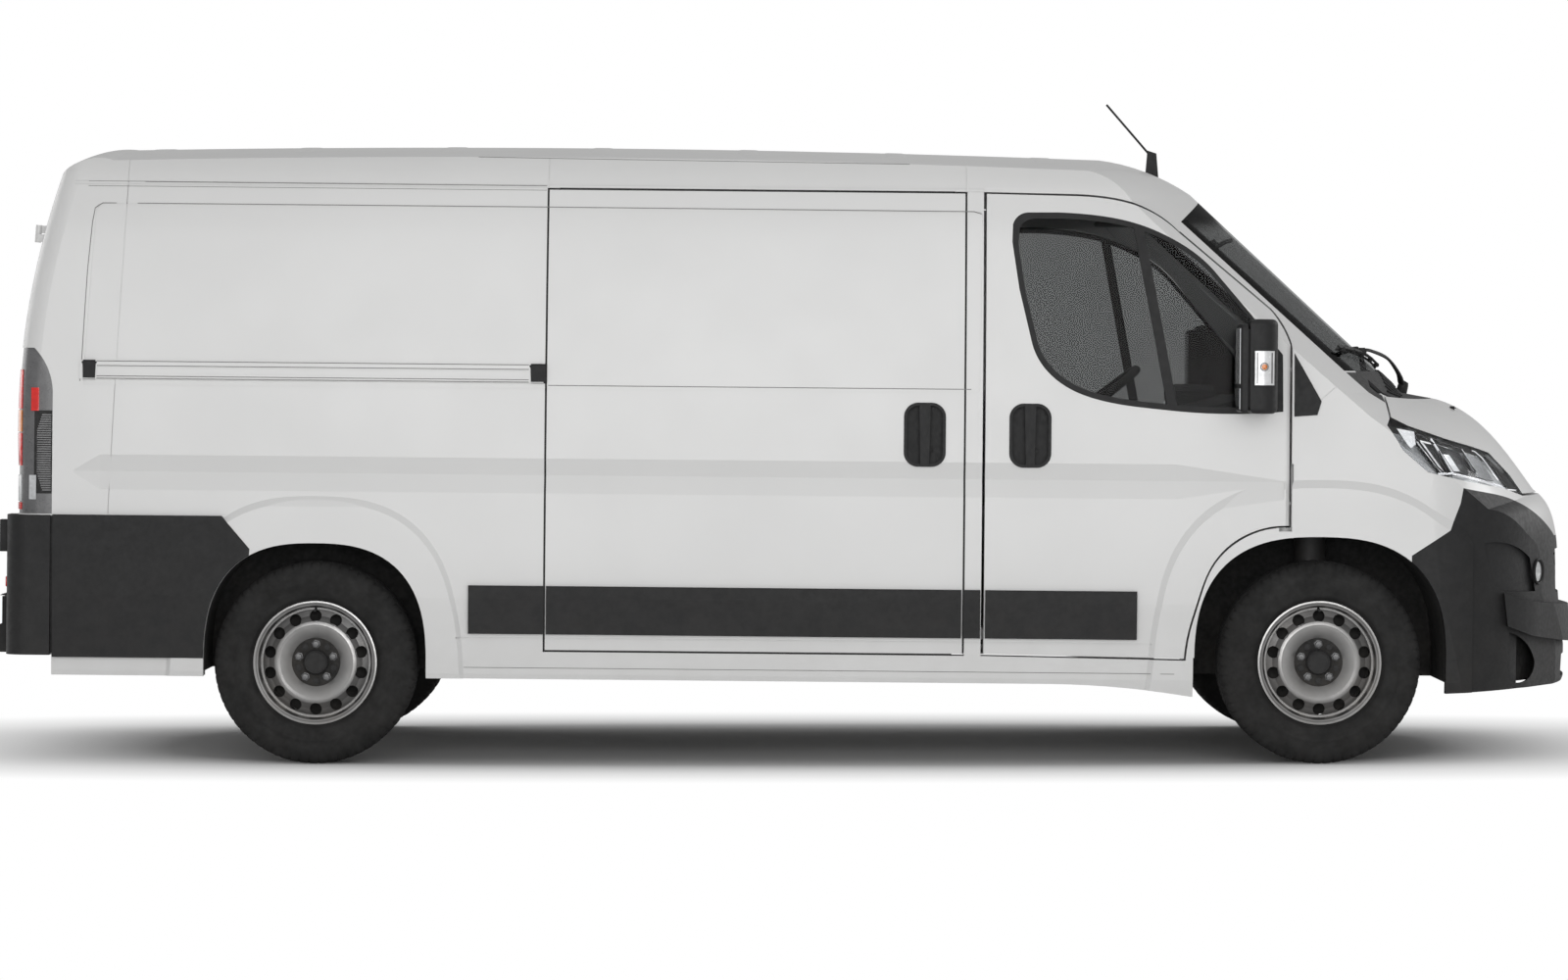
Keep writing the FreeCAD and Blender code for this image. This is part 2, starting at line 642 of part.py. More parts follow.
BONNET_REGION = [(BONNET_CORNER + 8, 1500), (BONNET_CORNER + 8, 1209)] + [
    (x + 2, z + 8) for x, z in LAMP_TOP[1:]] + [(FRONT + 1300, 943), (FRONT + 1300, 1500)]
BONNET = SKIN.common(side_slab(BONNET_REGION, -1200, 1200)).common(bonnet_plan(0))
SCUTTLE_SKIN = OUTER.cut(moved(LOFT, -6, -9))
SCUTTLE = SCUTTLE_SKIN.common(box(FRONT, FRONT + 700, -SCREEN_BOTTOM_HALF, SCREEN_BOTTOM_HALF, 1180,
                                  SCREEN_FOOT))
SCUTTLE = SCUTTLE.cut(bonnet_plan(GAP)).cut(SCREEN_OPENING).cut(pair(SIDE_WALL))
BONNET_HINGE = (FRONT + 215, 1275)
BONNET_HINGE_Y = 690
for shape in pair(box(BONNET_HINGE[0] - 22, BONNET_HINGE[0] + 90, BONNET_HINGE_Y - 34, BONNET_HINGE_Y + 34,
                      1100, 1500)):
    SCUTTLE = SCUTTLE.cut(shape)
piece("scuttle", [SCUTTLE])

# Nose: headlamps, body-coloured nose panel, dark bumper, grille, blank plate.

LAMP_REGION = LAMP_TOP + LAMP_BOTTOM
LAMP = SKIN.common(side_slab(LAMP_REGION, 480, 1200))
piece("headlamps", pair(LAMP))
NOSE_REGION = BUMPER_TOP[3:] + [(FRONT + 1200, 935), (FRONT + 750, 935)] + LAMP_BOTTOM[:2]
NOSE = SKIN.common(side_slab(NOSE_REGION, -1200, 1200))
piece("nose_panel", [NOSE])
BUMPER_REGION = BUMPER_TOP + [(FRONT + 1200, 276), (FRONT + 700, 276), (FRONT + 425, 262), (FRONT + 310, 262)]
UPPER_MOUTH = front_slab([(-400, 590), (400, 590), (460, 745), (-460, 745)], FRONT + 600, FRONT + 1200)
LOWER_MOUTH = front_slab([(-430, 296), (430, 296), (390, 372), (-390, 372)], FRONT + 600, FRONT + 1200)
BUMPER = SKIN.common(side_slab(BUMPER_REGION, -1200, 1200)).cut(UPPER_MOUTH).cut(LOWER_MOUTH)
BLADE_REACH = 33
BLADE = side_slab([(FRONT + 640, 606), (FRONT + 760, 575), (FRONT + 1100, 527), (FRONT + 1100, 392),
                   (FRONT + 760, 455), (FRONT + 655, 492)], -1200, 1200)
BLADE = moved(OUTER, BLADE_REACH, 0).cut(OUTER).common(BLADE)
FOG_RECESS = side_slab([(FRONT + 566, 778), [(FRONT + 700, 760), (FRONT + 748, 725)], (FRONT + 775, 607),
                        (FRONT + 640, 612), (FRONT + 600, 640)], -1200, 1200)
AIR_SCOOP = side_slab([(FRONT + 665, 470), [(FRONT + 745, 420), (FRONT + 775, 365)], [(FRONT + 760, 318),
                       (FRONT + 668, 305)]], -1200, 1200)
MIDDLE = box(FRONT, FRONT + 1300, -520, 520, 100, 1000)
for outline, depth in ((FOG_RECESS, 16), (AIR_SCOOP, 22)):
    BUMPER = BUMPER.cut(outline.cut(moved(OUTER, -depth, 0)).cut(MIDDLE))
BUMPER = BUMPER.fuse(BLADE)
for shape in pair(FRONT_OPENING):
    BUMPER = BUMPER.cut(shape)
BUMPER = BUMPER.removeSplitter()
piece("front_bumper", [BUMPER])


def grille():
    """Bars across both mouths, set back 8 mm behind the bumper's face."""
    face = moved(BULGED, -8, 0).cut(BENEATH)
    bars = []
    for low in (590, 628, 666, 704, 730):
        bars.append(box(FRONT + 600, FRONT + 1200, -480, 480, low, low + 17))
    bars += [box(FRONT + 600, FRONT + 1200, y - 6, y + 6, 590, 745) for y in (-240, 0, 240)]
    upper = face.common(bars[0].fuse(bars[1:])).common(UPPER_MOUTH)
    lower = face.common(box(FRONT + 600, FRONT + 1200, -480, 480, 326, 344)).common(LOWER_MOUTH)
    return [upper, lower]


GRILLE = grille()
piece("grille", GRILLE)
PLATE_FACE = FRONT + d.front_overhang - 2.1
FRONT_PLATE = box(PLATE_FACE - 45, PLATE_FACE, -260, 260, 405, 515).cut(moved(OUTER, BLADE_REACH, 0))
piece("front_plate", [FRONT_PLATE])

# Cab doors.

HANDLE_LOW = 1030
HANDLE_HIGH = 1240
DOOR_HANDLE_SPAN = (FRONT - 1068, FRONT - 934)
SLIDER_HANDLE_SPAN = (SLIDER_FRONT - 201, SLIDER_FRONT - 67)


def side_layer(outer, inner):
    """The layer of the side wall between two depths below the skin."""
    return cross_prism(outer).cut(cross_prism(inner))


def handle_outline(x0, x1, shrink):
    """The rounded upright outline of a handle, drawn in by shrink."""
    x0, x1 = x0 + shrink, x1 - shrink
    low, high = HANDLE_LOW + shrink, HANDLE_HIGH - shrink
    r = 44 - shrink
    k = 0.293 * r
    return side_slab([
        (x0 + r, low), (x1 - r, low), [(x1 - k, low + k), (x1, low + r)], (x1, high - r),
        [(x1 - k, high - k), (x1 - r, high)],
        (x0 + r, high), [(x0 + k, high - k), (x0, high - r)], (x0, low + r),
        [(x0 + k, low + k), (x0 + r, low)],
    ], 700, 1200)


def handle_hollow(span):
    return handle_outline(span[0], span[1], 0).cut(cross_prism(d.handle_depth))


def cab_door():
    """The whole thickness of the door, its front edge rounded about the hinge line."""
    door = SHELL.common(side_slab(door_outline(0), 700, 1200))
    foot, top = hinge_point(SHOULDER - 10), hinge_point(2000)
    nose = front_slab([(foot.y, foot.z), (1200, foot.z), (1200, top.z), (top.y, top.z)], HINGE_X,
                      HINGE_X + 100)
    nose = nose.cut(hinge_rod(0, 3000, NOSE_RADIUS))
    door = door.cut(nose).cut(window_slab(0, 700, 1200)).cut(handle_hollow(DOOR_HANDLE_SPAN))
    for low, high in DOOR_HINGES:
        middle = (low + high) / 2
        room = ARM_THICKNESS / 2 + 4
        y = hinge_point(middle).y
        door = door.cut([
            box(HINGE_X - 10, HINGE_X + 60, 700, y, middle - room, middle + room),
            hinge_rod(middle - room, middle + room, 9.5), hinge_rod(low - 2, high + 2, 5 + d.hinge_clearance),
        ])
    return door


DOOR = cab_door()
piece("cab_door_left", [DOOR])
piece("cab_door_right", [mirrored(DOOR)])

FRAME_WIDTH = 22
FRAME_DEPTH = 16

DIVIDER = [(FRONT - 652, 1870), (FRONT - 618, 1870), (FRONT - 493, 1215), (FRONT - 527, 1215)]
WINDOW_RING = window_slab(0, 700, 1200).cut(window_slab(FRAME_WIDTH, 700, 1200))
SAIL = side_slab([(FRONT - 285, 1200), (FRONT - 100, 1200), (FRONT - 100, 1500), (FRONT - 190, 1510),
                  (FRONT - 240, 1380)], 700, 1200)
WINDOW_RING = WINDOW_RING.fuse(SAIL.common(window_slab(0, 700, 1200)))
WINDOW_RING = WINDOW_RING.fuse(side_slab(DIVIDER, 700, 1200).common(window_slab(FRAME_WIDTH / 2, 700, 1200)))
WINDOW_FRAME = side_layer(2, 2 + FRAME_DEPTH).common(WINDOW_RING)
PANES = side_layer(9, 9 + d.glass_thickness - 2).common(window_slab(FRAME_WIDTH, 700, 1200)).cut(WINDOW_RING)
piece("door_glass_left", [PANES])
piece("door_glass_right", [mirrored(PANES)])

# Dark strips on the flanks, handles and mirrors.


def strip(x0, x1):
    """A rub strip standing off the skin, its top edge bevelled."""
    zone = box(x0, x1, 700, 1200, d.strip_bottom, d.strip_top)
    body = cross_prism(0, d.strip_thickness).common(zone).cut(BULGED)
    return body


STRIP_REAR = REAR + 526
STRIP_FRONT = DOOR_FRONT - 520


def handle(x0, x1):
    """The dark lining of a handle's hollow, with a rim and an upright grab bar."""
    middle = (x0 + x1) / 2
    lining = side_layer(0, d.handle_depth).common(handle_outline(x0, x1, 0))
    lining = lining.cut(side_layer(-20, d.handle_depth - 4).common(handle_outline(x0, x1, 4)))
    rim = side_layer(-3, 0).common(handle_outline(x0, x1, -5).cut(handle_outline(x0, x1, 5)))
    bar = side_layer(-5, 12).common(side_slab([
        (middle - 15, HANDLE_LOW + 4), (middle + 15, HANDLE_LOW + 4), (middle + 19, HANDLE_HIGH - 30),
        (middle + 19, HANDLE_HIGH - 4), (middle - 19, HANDLE_HIGH - 4), (middle - 19, HANDLE_HIGH - 30),
    ], 700, 1200))
    return lining.fuse([rim, bar]).removeSplitter()


def mirror_unit():
    """A tall door mirror: a face plate, a rounded shell ahead of it, and an arm to the sail."""
    y0 = d.half_width + 46
    y1 = d.half_width + 240
    plate = box(FRONT - 302, FRONT - 278, y0, y1, 1222, 1522)
    plate = plate.makeFillet(11, [e for e in plate.Edges if e.BoundBox.XMin < FRONT - 301])
    neck = box(FRONT - 280, FRONT - 266, y0 + 16, y1 - 16, 1238, 1506)
    shell = plan_slab([(FRONT - 270, y0), (FRONT - 270, y1), (FRONT - 230, y1),
                       [(FRONT - 190, y1 - 16), (FRONT - 172, y1 - 60)], (FRONT - 165, y0)], 1219, 1540)
    shell = shell.makeFillet(20, [e for e in shell.Edges if abs(e.BoundBox.ZLength) < 1])
    arm = box(FRONT - 232, FRONT - 178, d.half_width - 30, y0 + 20, 1236, 1296)
    arm = arm.cut(cross_prism(2 + FRAME_DEPTH / 2))
    return shell.fuse([plate, neck, arm]).removeSplitter()


MIRROR = mirror_unit()
DOOR_STRIP = strip(DOOR_REAR + 4, STRIP_FRONT)
DOOR_HANDLE = handle(*DOOR_HANDLE_SPAN)
MIRROR = WINDOW_FRAME.fuse(MIRROR).removeSplitter()
piece("door_trim_left", [MIRROR, DOOR_STRIP, DOOR_HANDLE])
piece("door_trim_right", [mirrored(s) for s in (MIRROR, DOOR_STRIP, DOOR_HANDLE)])

# Sliding door, right-hand side only.

SLIDER = SHELL.common(slider_space(0)).cut(handle_hollow(SLIDER_HANDLE_SPAN))
piece("sliding_door", [mirrored(SLIDER)])
SLIDER_STRIP = strip(SLIDER_REAR + 4, SLIDER_FRONT - 4)
SLIDER_HANDLE = handle(*SLIDER_HANDLE_SPAN)
piece("sliding_door_trim", [mirrored(SLIDER_STRIP), mirrored(SLIDER_HANDLE)])


def slide_track():
    """The middle rail behind the sliding door, with a cap at each end."""
    x0 = TAIL_X + 217
    x1 = SLIDER_REAR - 12
    rail = cross_prism(-6).common(box(x0, x1, 700, 1200, d.rail_bottom, d.rail_top))
    slot = box(x0 + 60, x1 - 60, 700, 1200, d.rail_bottom + 18, d.rail_top - 22)
    rail = rail.cut(BULGED)
    return rail.cut(slot.cut(cross_prism(-2)))


TRACK = slide_track()
piece("slide_track", [mirrored(TRACK)])


def cladding():
    """Dark lower panel of the rear quarter, meeting the arch."""
    outline = [(TAIL_X + 131, d.cladding_bottom), (REAR - 250, d.cladding_bottom), (REAR - 225, 722),
               (REAR - 322, d.cladding_top), (TAIL_X + 131, d.cladding_top)]
    zone = side_slab(outline, 700, 1200)
    return cross_prism(0, 15).common(zone).cut(BULGED).cut(REAR_OPENING)


CLADDING = cladding()
QUARTER_STRIP = strip(STRIP_REAR, SLIDER_REAR - 4)
PILLAR_STRIP = strip(SLIDER_FRONT + 4, DOOR_REAR - 13)
LONG_STRIP = strip(STRIP_REAR, DOOR_REAR - 13)
CORNER_TRIM = side_slab([(FRONT - 96, 1426), (FRONT - 3, 1262), (FRONT - 17, 1215), (FRONT - 96, 1209)],
                        700, 1200)
CORNER_TRIM = cross_prism(0, 4).common(CORNER_TRIM).cut(BULGED)
piece("side_cladding", [CLADDING, LONG_STRIP, CORNER_TRIM, mirrored(CORNER_TRIM), mirrored(CLADDING),
                        mirrored(QUARTER_STRIP), mirrored(PILLAR_STRIP)])

# Rear doors on outside hinges whose line leans with the tail.

DOOR_SILL = d.rear_door_sill
HINGE_LEAN = 74.0 / 1100.0
BARREL = 11
HINGE_LEAF = 14
HINGE_STAND = 26
REAR_HINGE_Y = DOOR_HALF + 12
REAR_HINGES = ((690, 750), (1770, 1830))


def hinge_line(z):
    """The rear hinge line's point at height z, on the +Y side."""
    return Vector(TAIL_X - HINGE_STAND + (z - 700) * HINGE_LEAN, REAR_HINGE_Y, z)


def rear_door():
    block = box(-3200, TAIL_X + 400, 5.5, DOOR_HALF - 4, DOOR_SILL, GUTTER - GAP)
    middle_step = box(-3200, TAIL_X + 400, 0, 12, 0, 3000).common(moved(BULGED, 26, 0))
    door = SHELL.common(block).cut(middle_step)
    return door


REAR_DOOR = rear_door()


def rear_hinges():
    """Door-side and pillar-side halves of both hinges."""
    door_half = []
    body_half = []
    for low, high in REAR_HINGES:
        middle = (low + high) / 2
        foot, centre, top = hinge_line(low), hinge_line(middle), hinge_line(high)
        axis = (top - foot).normalize()
        pin = Part.makeCylinder(6, (top - foot).Length, foot, axis)
        lower = Part.makeCylinder(BARREL, (centre - foot).Length - 0.15, foot, axis)
        upper_start = centre + axis * 0.15
        upper = Part.makeCylinder(BARREL, (top - centre).Length - 0.15, upper_start, axis)
        bore = Part.makeCylinder(6 + d.hinge_clearance, 200, foot - axis * 60, axis)
        leaf = box(centre.x, centre.x + 60, centre.y, centre.y + HINGE_LEAF, low + 2, middle - 2)
        strap = box(centre.x, centre.x + 60, centre.y - 70, centre.y - 9, middle + 2,
                    high - 2).common(LEAF_LAYER)
        strap = strap.fuse(box(centre.x, centre.x + 60, centre.y - 15, centre.y, middle + 2, high - 2))
        body_half.append((lower, leaf, pin))
        door_half.append((upper, strap, bore))
    return body_half, door_half


LEAF_LAYER = moved(OUTER, -8, 0).cut(OUTER)
BODY_HINGES, DOOR_HINGE_PARTS = rear_hinges()
BODY_HINGE_SOLIDS = []
for lower, leaf, pin in BODY_HINGES:
    BODY_HINGE_SOLIDS.append(lower.fuse([leaf, pin]).cut(OUTER).removeSplitter())
for upper, strap, bore in DOOR_HINGE_PARTS:
    REAR_DOOR = REAR_DOOR.fuse(upper.fuse(strap).cut(OUTER)).cut(bore)
REAR_DOOR = REAR_DOOR.removeSplitter()
piece("rear_door_left", [REAR_DOOR])
piece("rear_door_right", [mirrored(REAR_DOOR)])
piece("rear_hinges", BODY_HINGE_SOLIDS + [mirrored(s) for s in BODY_HINGE_SOLIDS])
piece("tail_lamps", pair(TAIL_PIECE))


def rear_bumper():
    """Corner pieces up beside the doors, and a step under them."""
    corner = box(TAIL_X - 33, TAIL_X + 123, LAMP_INNER + 8, d.half_width + 12, d.cladding_bottom + 7, 832)
    edge = [e for e in corner.Edges
            if e.BoundBox.ZLength > 100 and e.BoundBox.XMax < TAIL_X and e.BoundBox.YMin > 1000]
    corner = corner.makeFillet(70, edge)
    corner = corner.cut(OUTER.cut(box(-3200, TAIL_X + 127, 0, 1200, 100, d.cladding_bottom + 20)))
    rear = REAR - d.rear_overhang
    step = side_slab([(rear, 352), (rear, 440), (rear + 30, 452), (rear + 30, 545), (TAIL_X + 60, 545),
                      (TAIL_X + 60, 500), (rear + 60, 500), (rear + 60, 352)], -LAMP_INNER - 10,
                      LAMP_INNER + 10)
    buffer = box(TAIL_X - 61, TAIL_X - 10, LAMP_INNER + 40, LAMP_INNER + 95, 703, 813).cut(corner).cut(OUTER)
    whole = step
    for shape in pair(corner.fuse(buffer)):
        whole = whole.fuse(shape)
    return whole.cut(pair(SIDE_WALL)).removeSplitter()


REAR_BUMPER = rear_bumper()
piece("rear_bumper", [REAR_BUMPER])

# Wheel houses, floor, bulkhead, firewall.

AXLE_HOLE = rod((REAR, 690, REAR_ARCH[1]), (REAR, 730, REAR_ARCH[1]), 80)
LINERS = pair(liner(*FRONT_LINER).cut([WING, BUMPER])) + pair(liner(*REAR_LINER).cut(AXLE_HOLE))
piece("wheel_liners", LINERS)
FLOOR = d.floor_height
FLOOR_UNDER = FLOOR - d.floor_thickness
CAB_FLOOR = d.cab_floor_height
CAB_UNDER = CAB_FLOOR - d.floor_thickness
BULKHEAD_X = FRONT - 1300
FIREWALL_X = FRONT - 240


def floor():
    """Load floor and lower cab floor with a riser between them, and a rear cross-member."""
    outline = [
        (TAIL_X + 82, FLOOR), (BULKHEAD_X + 20, FLOOR), (BULKHEAD_X + 20, CAB_FLOOR),
        (FIREWALL_X + 20, CAB_FLOOR),
        (FIREWALL_X + 20, CAB_UNDER), (BULKHEAD_X - 20, CAB_UNDER), (BULKHEAD_X - 20, FLOOR_UNDER),
        (TAIL_X + 140, FLOOR_UNDER), (TAIL_X + 140, FLOOR_UNDER - 70), (TAIL_X + 82, FLOOR_UNDER - 70),
    ]
    slab = INNER.common(side_slab(outline, -1100, 1100))
    for side in pair(REAR_LINER_SPACE) + pair(FRONT_LINER_SPACE):
        slab = slab.cut(side)
    return slab


FLOOR_PAN = floor()
piece("floor", [FLOOR_PAN])
BULKHEAD = INNER.common(box(BULKHEAD_X - 20, BULKHEAD_X, -1100, 1100, FLOOR, 2300))
piece("bulkhead", [BULKHEAD])
COWL_Z = 1180


def firewall():
    """The wall behind the engine, and the shelf under the windscreen."""
    outline = [
        (FIREWALL_X, CAB_FLOOR), (FIREWALL_X + 20, CAB_FLOOR), (FIREWALL_X + 20, COWL_Z - 20),
        (FRONT + 190, COWL_Z),
        (FRONT + 190, COWL_Z + 20), (FIREWALL_X, COWL_Z),
    ]
    wall = INNER.common(side_slab(outline, -1100, 1100))
    for side in pair(FRONT_LINER_SPACE) + pair(FRONT_LINER_SPACE):
        wall = wall.cut(side)
    return wall


DOOR_SWING = box(FIREWALL_X - 330, DOOR_FRONT + 10, -1200, 1200, 300,
                 2000)
DOOR_SWING = DOOR_SWING.cut(cross_prism(d.wall_thickness + 8))
FIREWALL = firewall().cut(DOOR_SWING)

# Bonnet hinges: pins on brackets behind the bonnet's rear corners.


def bonnet_hinges():
    brackets = []
    lugs = []
    bores = []
    x, z = BONNET_HINGE
    y = BONNET_HINGE_Y
    bracket = side_slab([(x - 60, COWL_Z + 12), (x - 24, COWL_Z + 15), (x + 9, z - 10), (x + 9, z + 9),
                         (x - 9, z + 9),
                         (x - 20, z - 20)], y - 6, y + 6)
    pin = rod((x, y - 26, z), (x, y + 26, z), 5)
    brackets = pair(bracket.fuse(pin))
    for offset in (-18, 10):
        lug = side_slab([(x - 10, z - 8), (x + 100, z - 38), (x + 100, z + 30), (x - 10, z + 9)],
                        y + offset, y + offset + 8)
        lug = lug.common(moved(OUTER, 0, -4))
        lugs.append(lug)
    bores = rod((x, y - 30, z), (x, y + 30, z), 5 + d.hinge_clearance)
    return brackets, lugs, bores


BRACKETS, LUGS, PIN_ROOM = bonnet_hinges()
for bracket in BRACKETS:
    FIREWALL = FIREWALL.fuse(bracket)
FIREWALL = FIREWALL.removeSplitter()
for lug in LUGS:
    for shape in pair(lug):
        BONNET = BONNET.fuse(shape)
for shape in pair(PIN_ROOM):
    BONNET = BONNET.cut(shape)
BONNET = BONNET.removeSplitter()
piece("firewall", [FIREWALL])
piece("bonnet", [BONNET])

# Cab inside: dashboard, column, seats. The driver sits on the left (+Y).

DASH = side_slab([
    (FIREWALL_X - 260, 880), (FIREWALL_X - 2, 700), (FIREWALL_X - 2, COWL_Z + 2), (FRONT + 150, COWL_Z + 22),
    (FRONT + 150, COWL_Z + 60), [(FIREWALL_X - 60, 1260), (FIREWALL_X - 260, 1190)], (FIREWALL_X - 320, 1020),
], -WALL_INNER + 4, WALL_INNER - 4)
DASH = DASH.common(INNER).cut(DOOR_SWING)
for shape in pair(FRONT_LINER_SPACE):
    DASH = DASH.cut(shape)
DRIVER_Y = 480
STEER_CENTRE = Vector(FRONT - 660, DRIVER_Y, 1185)
STEER_LEAN = Vector(-0.62, 0, 0.785).normalize()
COLUMN = Part.makeCylinder(32, 330, STEER_CENTRE - STEER_LEAN * 360, STEER_LEAN)
DASH = DASH.fuse(COLUMN).removeSplitter()
piece("dashboard", [DASH])


def steering_wheel():
    ring = Part.makeTorus(205, 16, STEER_CENTRE + STEER_LEAN * 70, STEER_LEAN)
    hub = Part.makeCylinder(45, 70, STEER_CENTRE - STEER_LEAN * 29.7, STEER_LEAN)
    wheel = ring.fuse(hub)
    across = Vector(0, 1, 0)
    up = STEER_LEAN.cross(across)
    for direction in (across, across * -1, up * -1 if up.z > 0 else up):
        start = STEER_CENTRE + STEER_LEAN * 25
        wheel = wheel.fuse(Part.makeCylinder(11, 205, start, direction + STEER_LEAN * 0.2))
    return wheel.removeSplitter()


WHEEL_RIM = steering_wheel()
piece("steering_wheel", [WHEEL_RIM])


def seat(y0, y1):
    """A seat on its base box: cushion, back and headrest."""
    x = BULKHEAD_X
    base = box(x + 90, x + 480, y0 + 30, y1 - 30, CAB_FLOOR, CAB_FLOOR + 250)
    cushion = box(x + 70, x + 580, y0, y1, CAB_FLOOR + 250, CAB_FLOOR + 390)
    back = side_slab([(x + 90, CAB_FLOOR + 390), (x + 215, CAB_FLOOR + 390), (x + 130, CAB_FLOOR + 1010),
                      (x + 20, CAB_FLOOR + 1010)], y0, y1)
    return base, cushion, back


SEAT_SOFT = []
SEAT_BASES = []
for y0, y1 in ((220, 740), (-745, 130)):
    base, cushion, back = seat(y0, y1)
    SEAT_BASES.append(base)
    SEAT_SOFT += [cushion, back]
piece("seat_bases", SEAT_BASES)
piece("seat_cushions", SEAT_SOFT)


def headrest(y):
    x = BULKHEAD_X + 24
    z = CAB_FLOOR + 1010
    pad = box(x + 2, x + 92, y - 130, y + 130, z + 50, z + 210)
    posts = [rod((x + 50, y + off, z), (x + 50, y + off, z + 52), 6) for off in (-60, 60)]
    return pad.fuse(posts)


piece("headrests", [headrest(y) for y in (480, -90, -520)])

# Below the floor, level with the road: rails, axles, springs, tank, exhaust.


def levelled(shape):
    """A body-frame shape as the level frame sees it."""
    copy = shape.copy()
    copy.Placement = LEVEL.inverse().multiply(BODY)
    return copy


def level_top(x0, x1, z, low, y0, y1):
    """A block with a level underside at low and a top lying against the raked plane z."""
    start = raked(x0, z)
    end = raked(x1, z)
    return side_slab([(start[0], low), start, end, (end[0], low)], y0, y1)


RAIL_Y = (520, 590)
RAIL_LOW = 440
RAIL = level_top(TAIL_X + 145, BULKHEAD_X - 25, FLOOR_UNDER, RAIL_LOW, *RAIL_Y)
TOWBAR_X = (TAIL_X + 190, TAIL_X + 390)
TOWBAR_Y = (RAIL_Y[0] + RAIL_Y[1]) / 2
TOWBAR_HOLE = 7
for x in TOWBAR_X:
    RAIL = RAIL.cut(rod((x, TOWBAR_Y, RAIL_LOW - 1), (x, TOWBAR_Y, RAIL_LOW + 40), TOWBAR_HOLE))
FRAME = RAIL
FRAME = FRAME.fuse(mirrored(RAIL))
for x in (TAIL_X + 600, REAR + 800, BULKHEAD_X - 160):
    FRAME = FRAME.fuse(box(x, x + 70, -RAIL_Y[0], RAIL_Y[0], RAIL_LOW + 5, RAIL_LOW + 45))
FRONT_RAIL = level_top(BULKHEAD_X - 15, FRONT - 442, CAB_UNDER, 385, 380, 450)
JOINER = box(BULKHEAD_X - 100, BULKHEAD_X - 30, 380, 590, 400, RAIL_LOW + 40)
for shape in pair(FRONT_RAIL.fuse(box(BULKHEAD_X - 100, BULKHEAD_X + 40, 380, 450, 390, 425)).fuse(JOINER)):
    FRAME = FRAME.fuse(shape)
FRONT_LEG = box(FRONT - 445, FRONT + 560, 380, 450, 385, 425)
for shape in pair(FRONT_LEG):
    FRAME = FRAME.fuse(shape)
FRAME = FRAME.cut(levelled(FLOOR_PAN)).removeSplitter()
piece("chassis_frame", [FRAME], LEVEL)

HUB_FACE = 20
SPINDLE_END = 48
SPINDLE = d.hub_bore_radius - d.spindle_clearance


def stub(x, half_track, inner):
    """A hub carrier and its spindle, running into the wheel's blind bore."""
    face = half_track + HUB_FACE - d.spindle_clearance
    tip = half_track + SPINDLE_END - d.spindle_clearance
    carrier = rod((x, inner, AXLE_Z), (x, face, AXLE_Z), 58)
    return carrier.fuse(rod((x, face - 1, AXLE_Z), (x, tip, AXLE_Z), SPINDLE))


SPRING_Z = AXLE_Z + 46
REAR_AXLE = rod((REAR, -820, AXLE_Z), (REAR, 820, AXLE_Z), 40)
for shape in pair(stub(REAR, d.rear_track / 2, 810)):
    REAR_AXLE = REAR_AXLE.fuse(shape)
for shape in pair(box(REAR - 60, REAR + 60, RAIL_Y[0], RAIL_Y[1], AXLE_Z + 20, SPRING_Z)):
    REAR_AXLE = REAR_AXLE.fuse(shape)
REAR_AXLE = REAR_AXLE.removeSplitter()
piece("rear_axle", [REAR_AXLE], LEVEL)


def leaf_spring():
    half = 560
    leaf = side_slab([
        (REAR - half, 418), [(REAR - half / 2, SPRING_Z + 5), (REAR, SPRING_Z),
                             (REAR + half / 2, SPRING_Z + 5), (REAR + half, 418)],
        (REAR + half, 430), [(REAR + half / 2, SPRING_Z + 18), (REAR, SPRING_Z + 14),
                             (REAR - half / 2, SPRING_Z + 18), (REAR - half, 430)],
    ], RAIL_Y[0] + 4, RAIL_Y[1] - 4)
    ends = [box(x - 20, x + 20, RAIL_Y[0] + 4, RAIL_Y[1] - 4, 412, RAIL_LOW)
            for x in (REAR - half, REAR + half)]
    return leaf.fuse(ends).removeSplitter()


SPRING = leaf_spring()
piece("leaf_springs", pair(SPRING), LEVEL)

KINGPIN = d.kingpin_half


def knuckle():
    """Upright, spindle and steering arm, turning about the upright kingpin line."""
    body = stub(FRONT, d.front_track / 2, KINGPIN - 15)
    upright = box(FRONT - 26, FRONT + 26, KINGPIN - 20, KINGPIN + 20, AXLE_Z - 118, AXLE_Z + 118)
    arm = box(FRONT - 130, FRONT, KINGPIN - 20, KINGPIN + 8, AXLE_Z - 20, AXLE_Z + 10)
    swivel = rod((FRONT, KINGPIN, AXLE_Z - 118), (FRONT, KINGPIN, AXLE_Z + 118), 24)
    return body.fuse([upright, arm, swivel]).removeSplitter()


KNUCKLE = knuckle()
piece("knuckle_left", [KNUCKLE], LEVEL)
piece("knuckle_right", [mirrored(KNUCKLE)], LEVEL)


def front_suspension():
    """Cross-member with lower arms, and a strut on each side."""
    beam = box(FRONT - 160, FRONT + 120, -450, 450, 225, 290)
    posts = [box(FRONT - 120, FRONT - 60, y - 30, y + 30, 285, 385) for y in (-415, 415)]
    posts += [box(FRONT + 40, FRONT + 100, y - 30, y + 30, 285, 385) for y in (-415, 415)]
    under = AXLE_Z - 118 - 0.3
    arm = plan_slab([(FRONT - 150, 440), (FRONT - 32, KINGPIN - 60), (FRONT - 32, KINGPIN + 22),
                     (FRONT + 32, KINGPIN + 22),
                     (FRONT + 32, KINGPIN - 60), (FRONT + 90, 440)], under - 24, under)
    joiner = box(FRONT - 150, FRONT + 100, 400, 450, under - 24, 240)
    whole = beam.fuse(posts)
    for shape in pair(arm.fuse(joiner)):
        whole = whole.fuse(shape)
    return whole.removeSplitter()


SUBFRAME = front_suspension()
piece("front_subframe", [SUBFRAME], LEVEL)


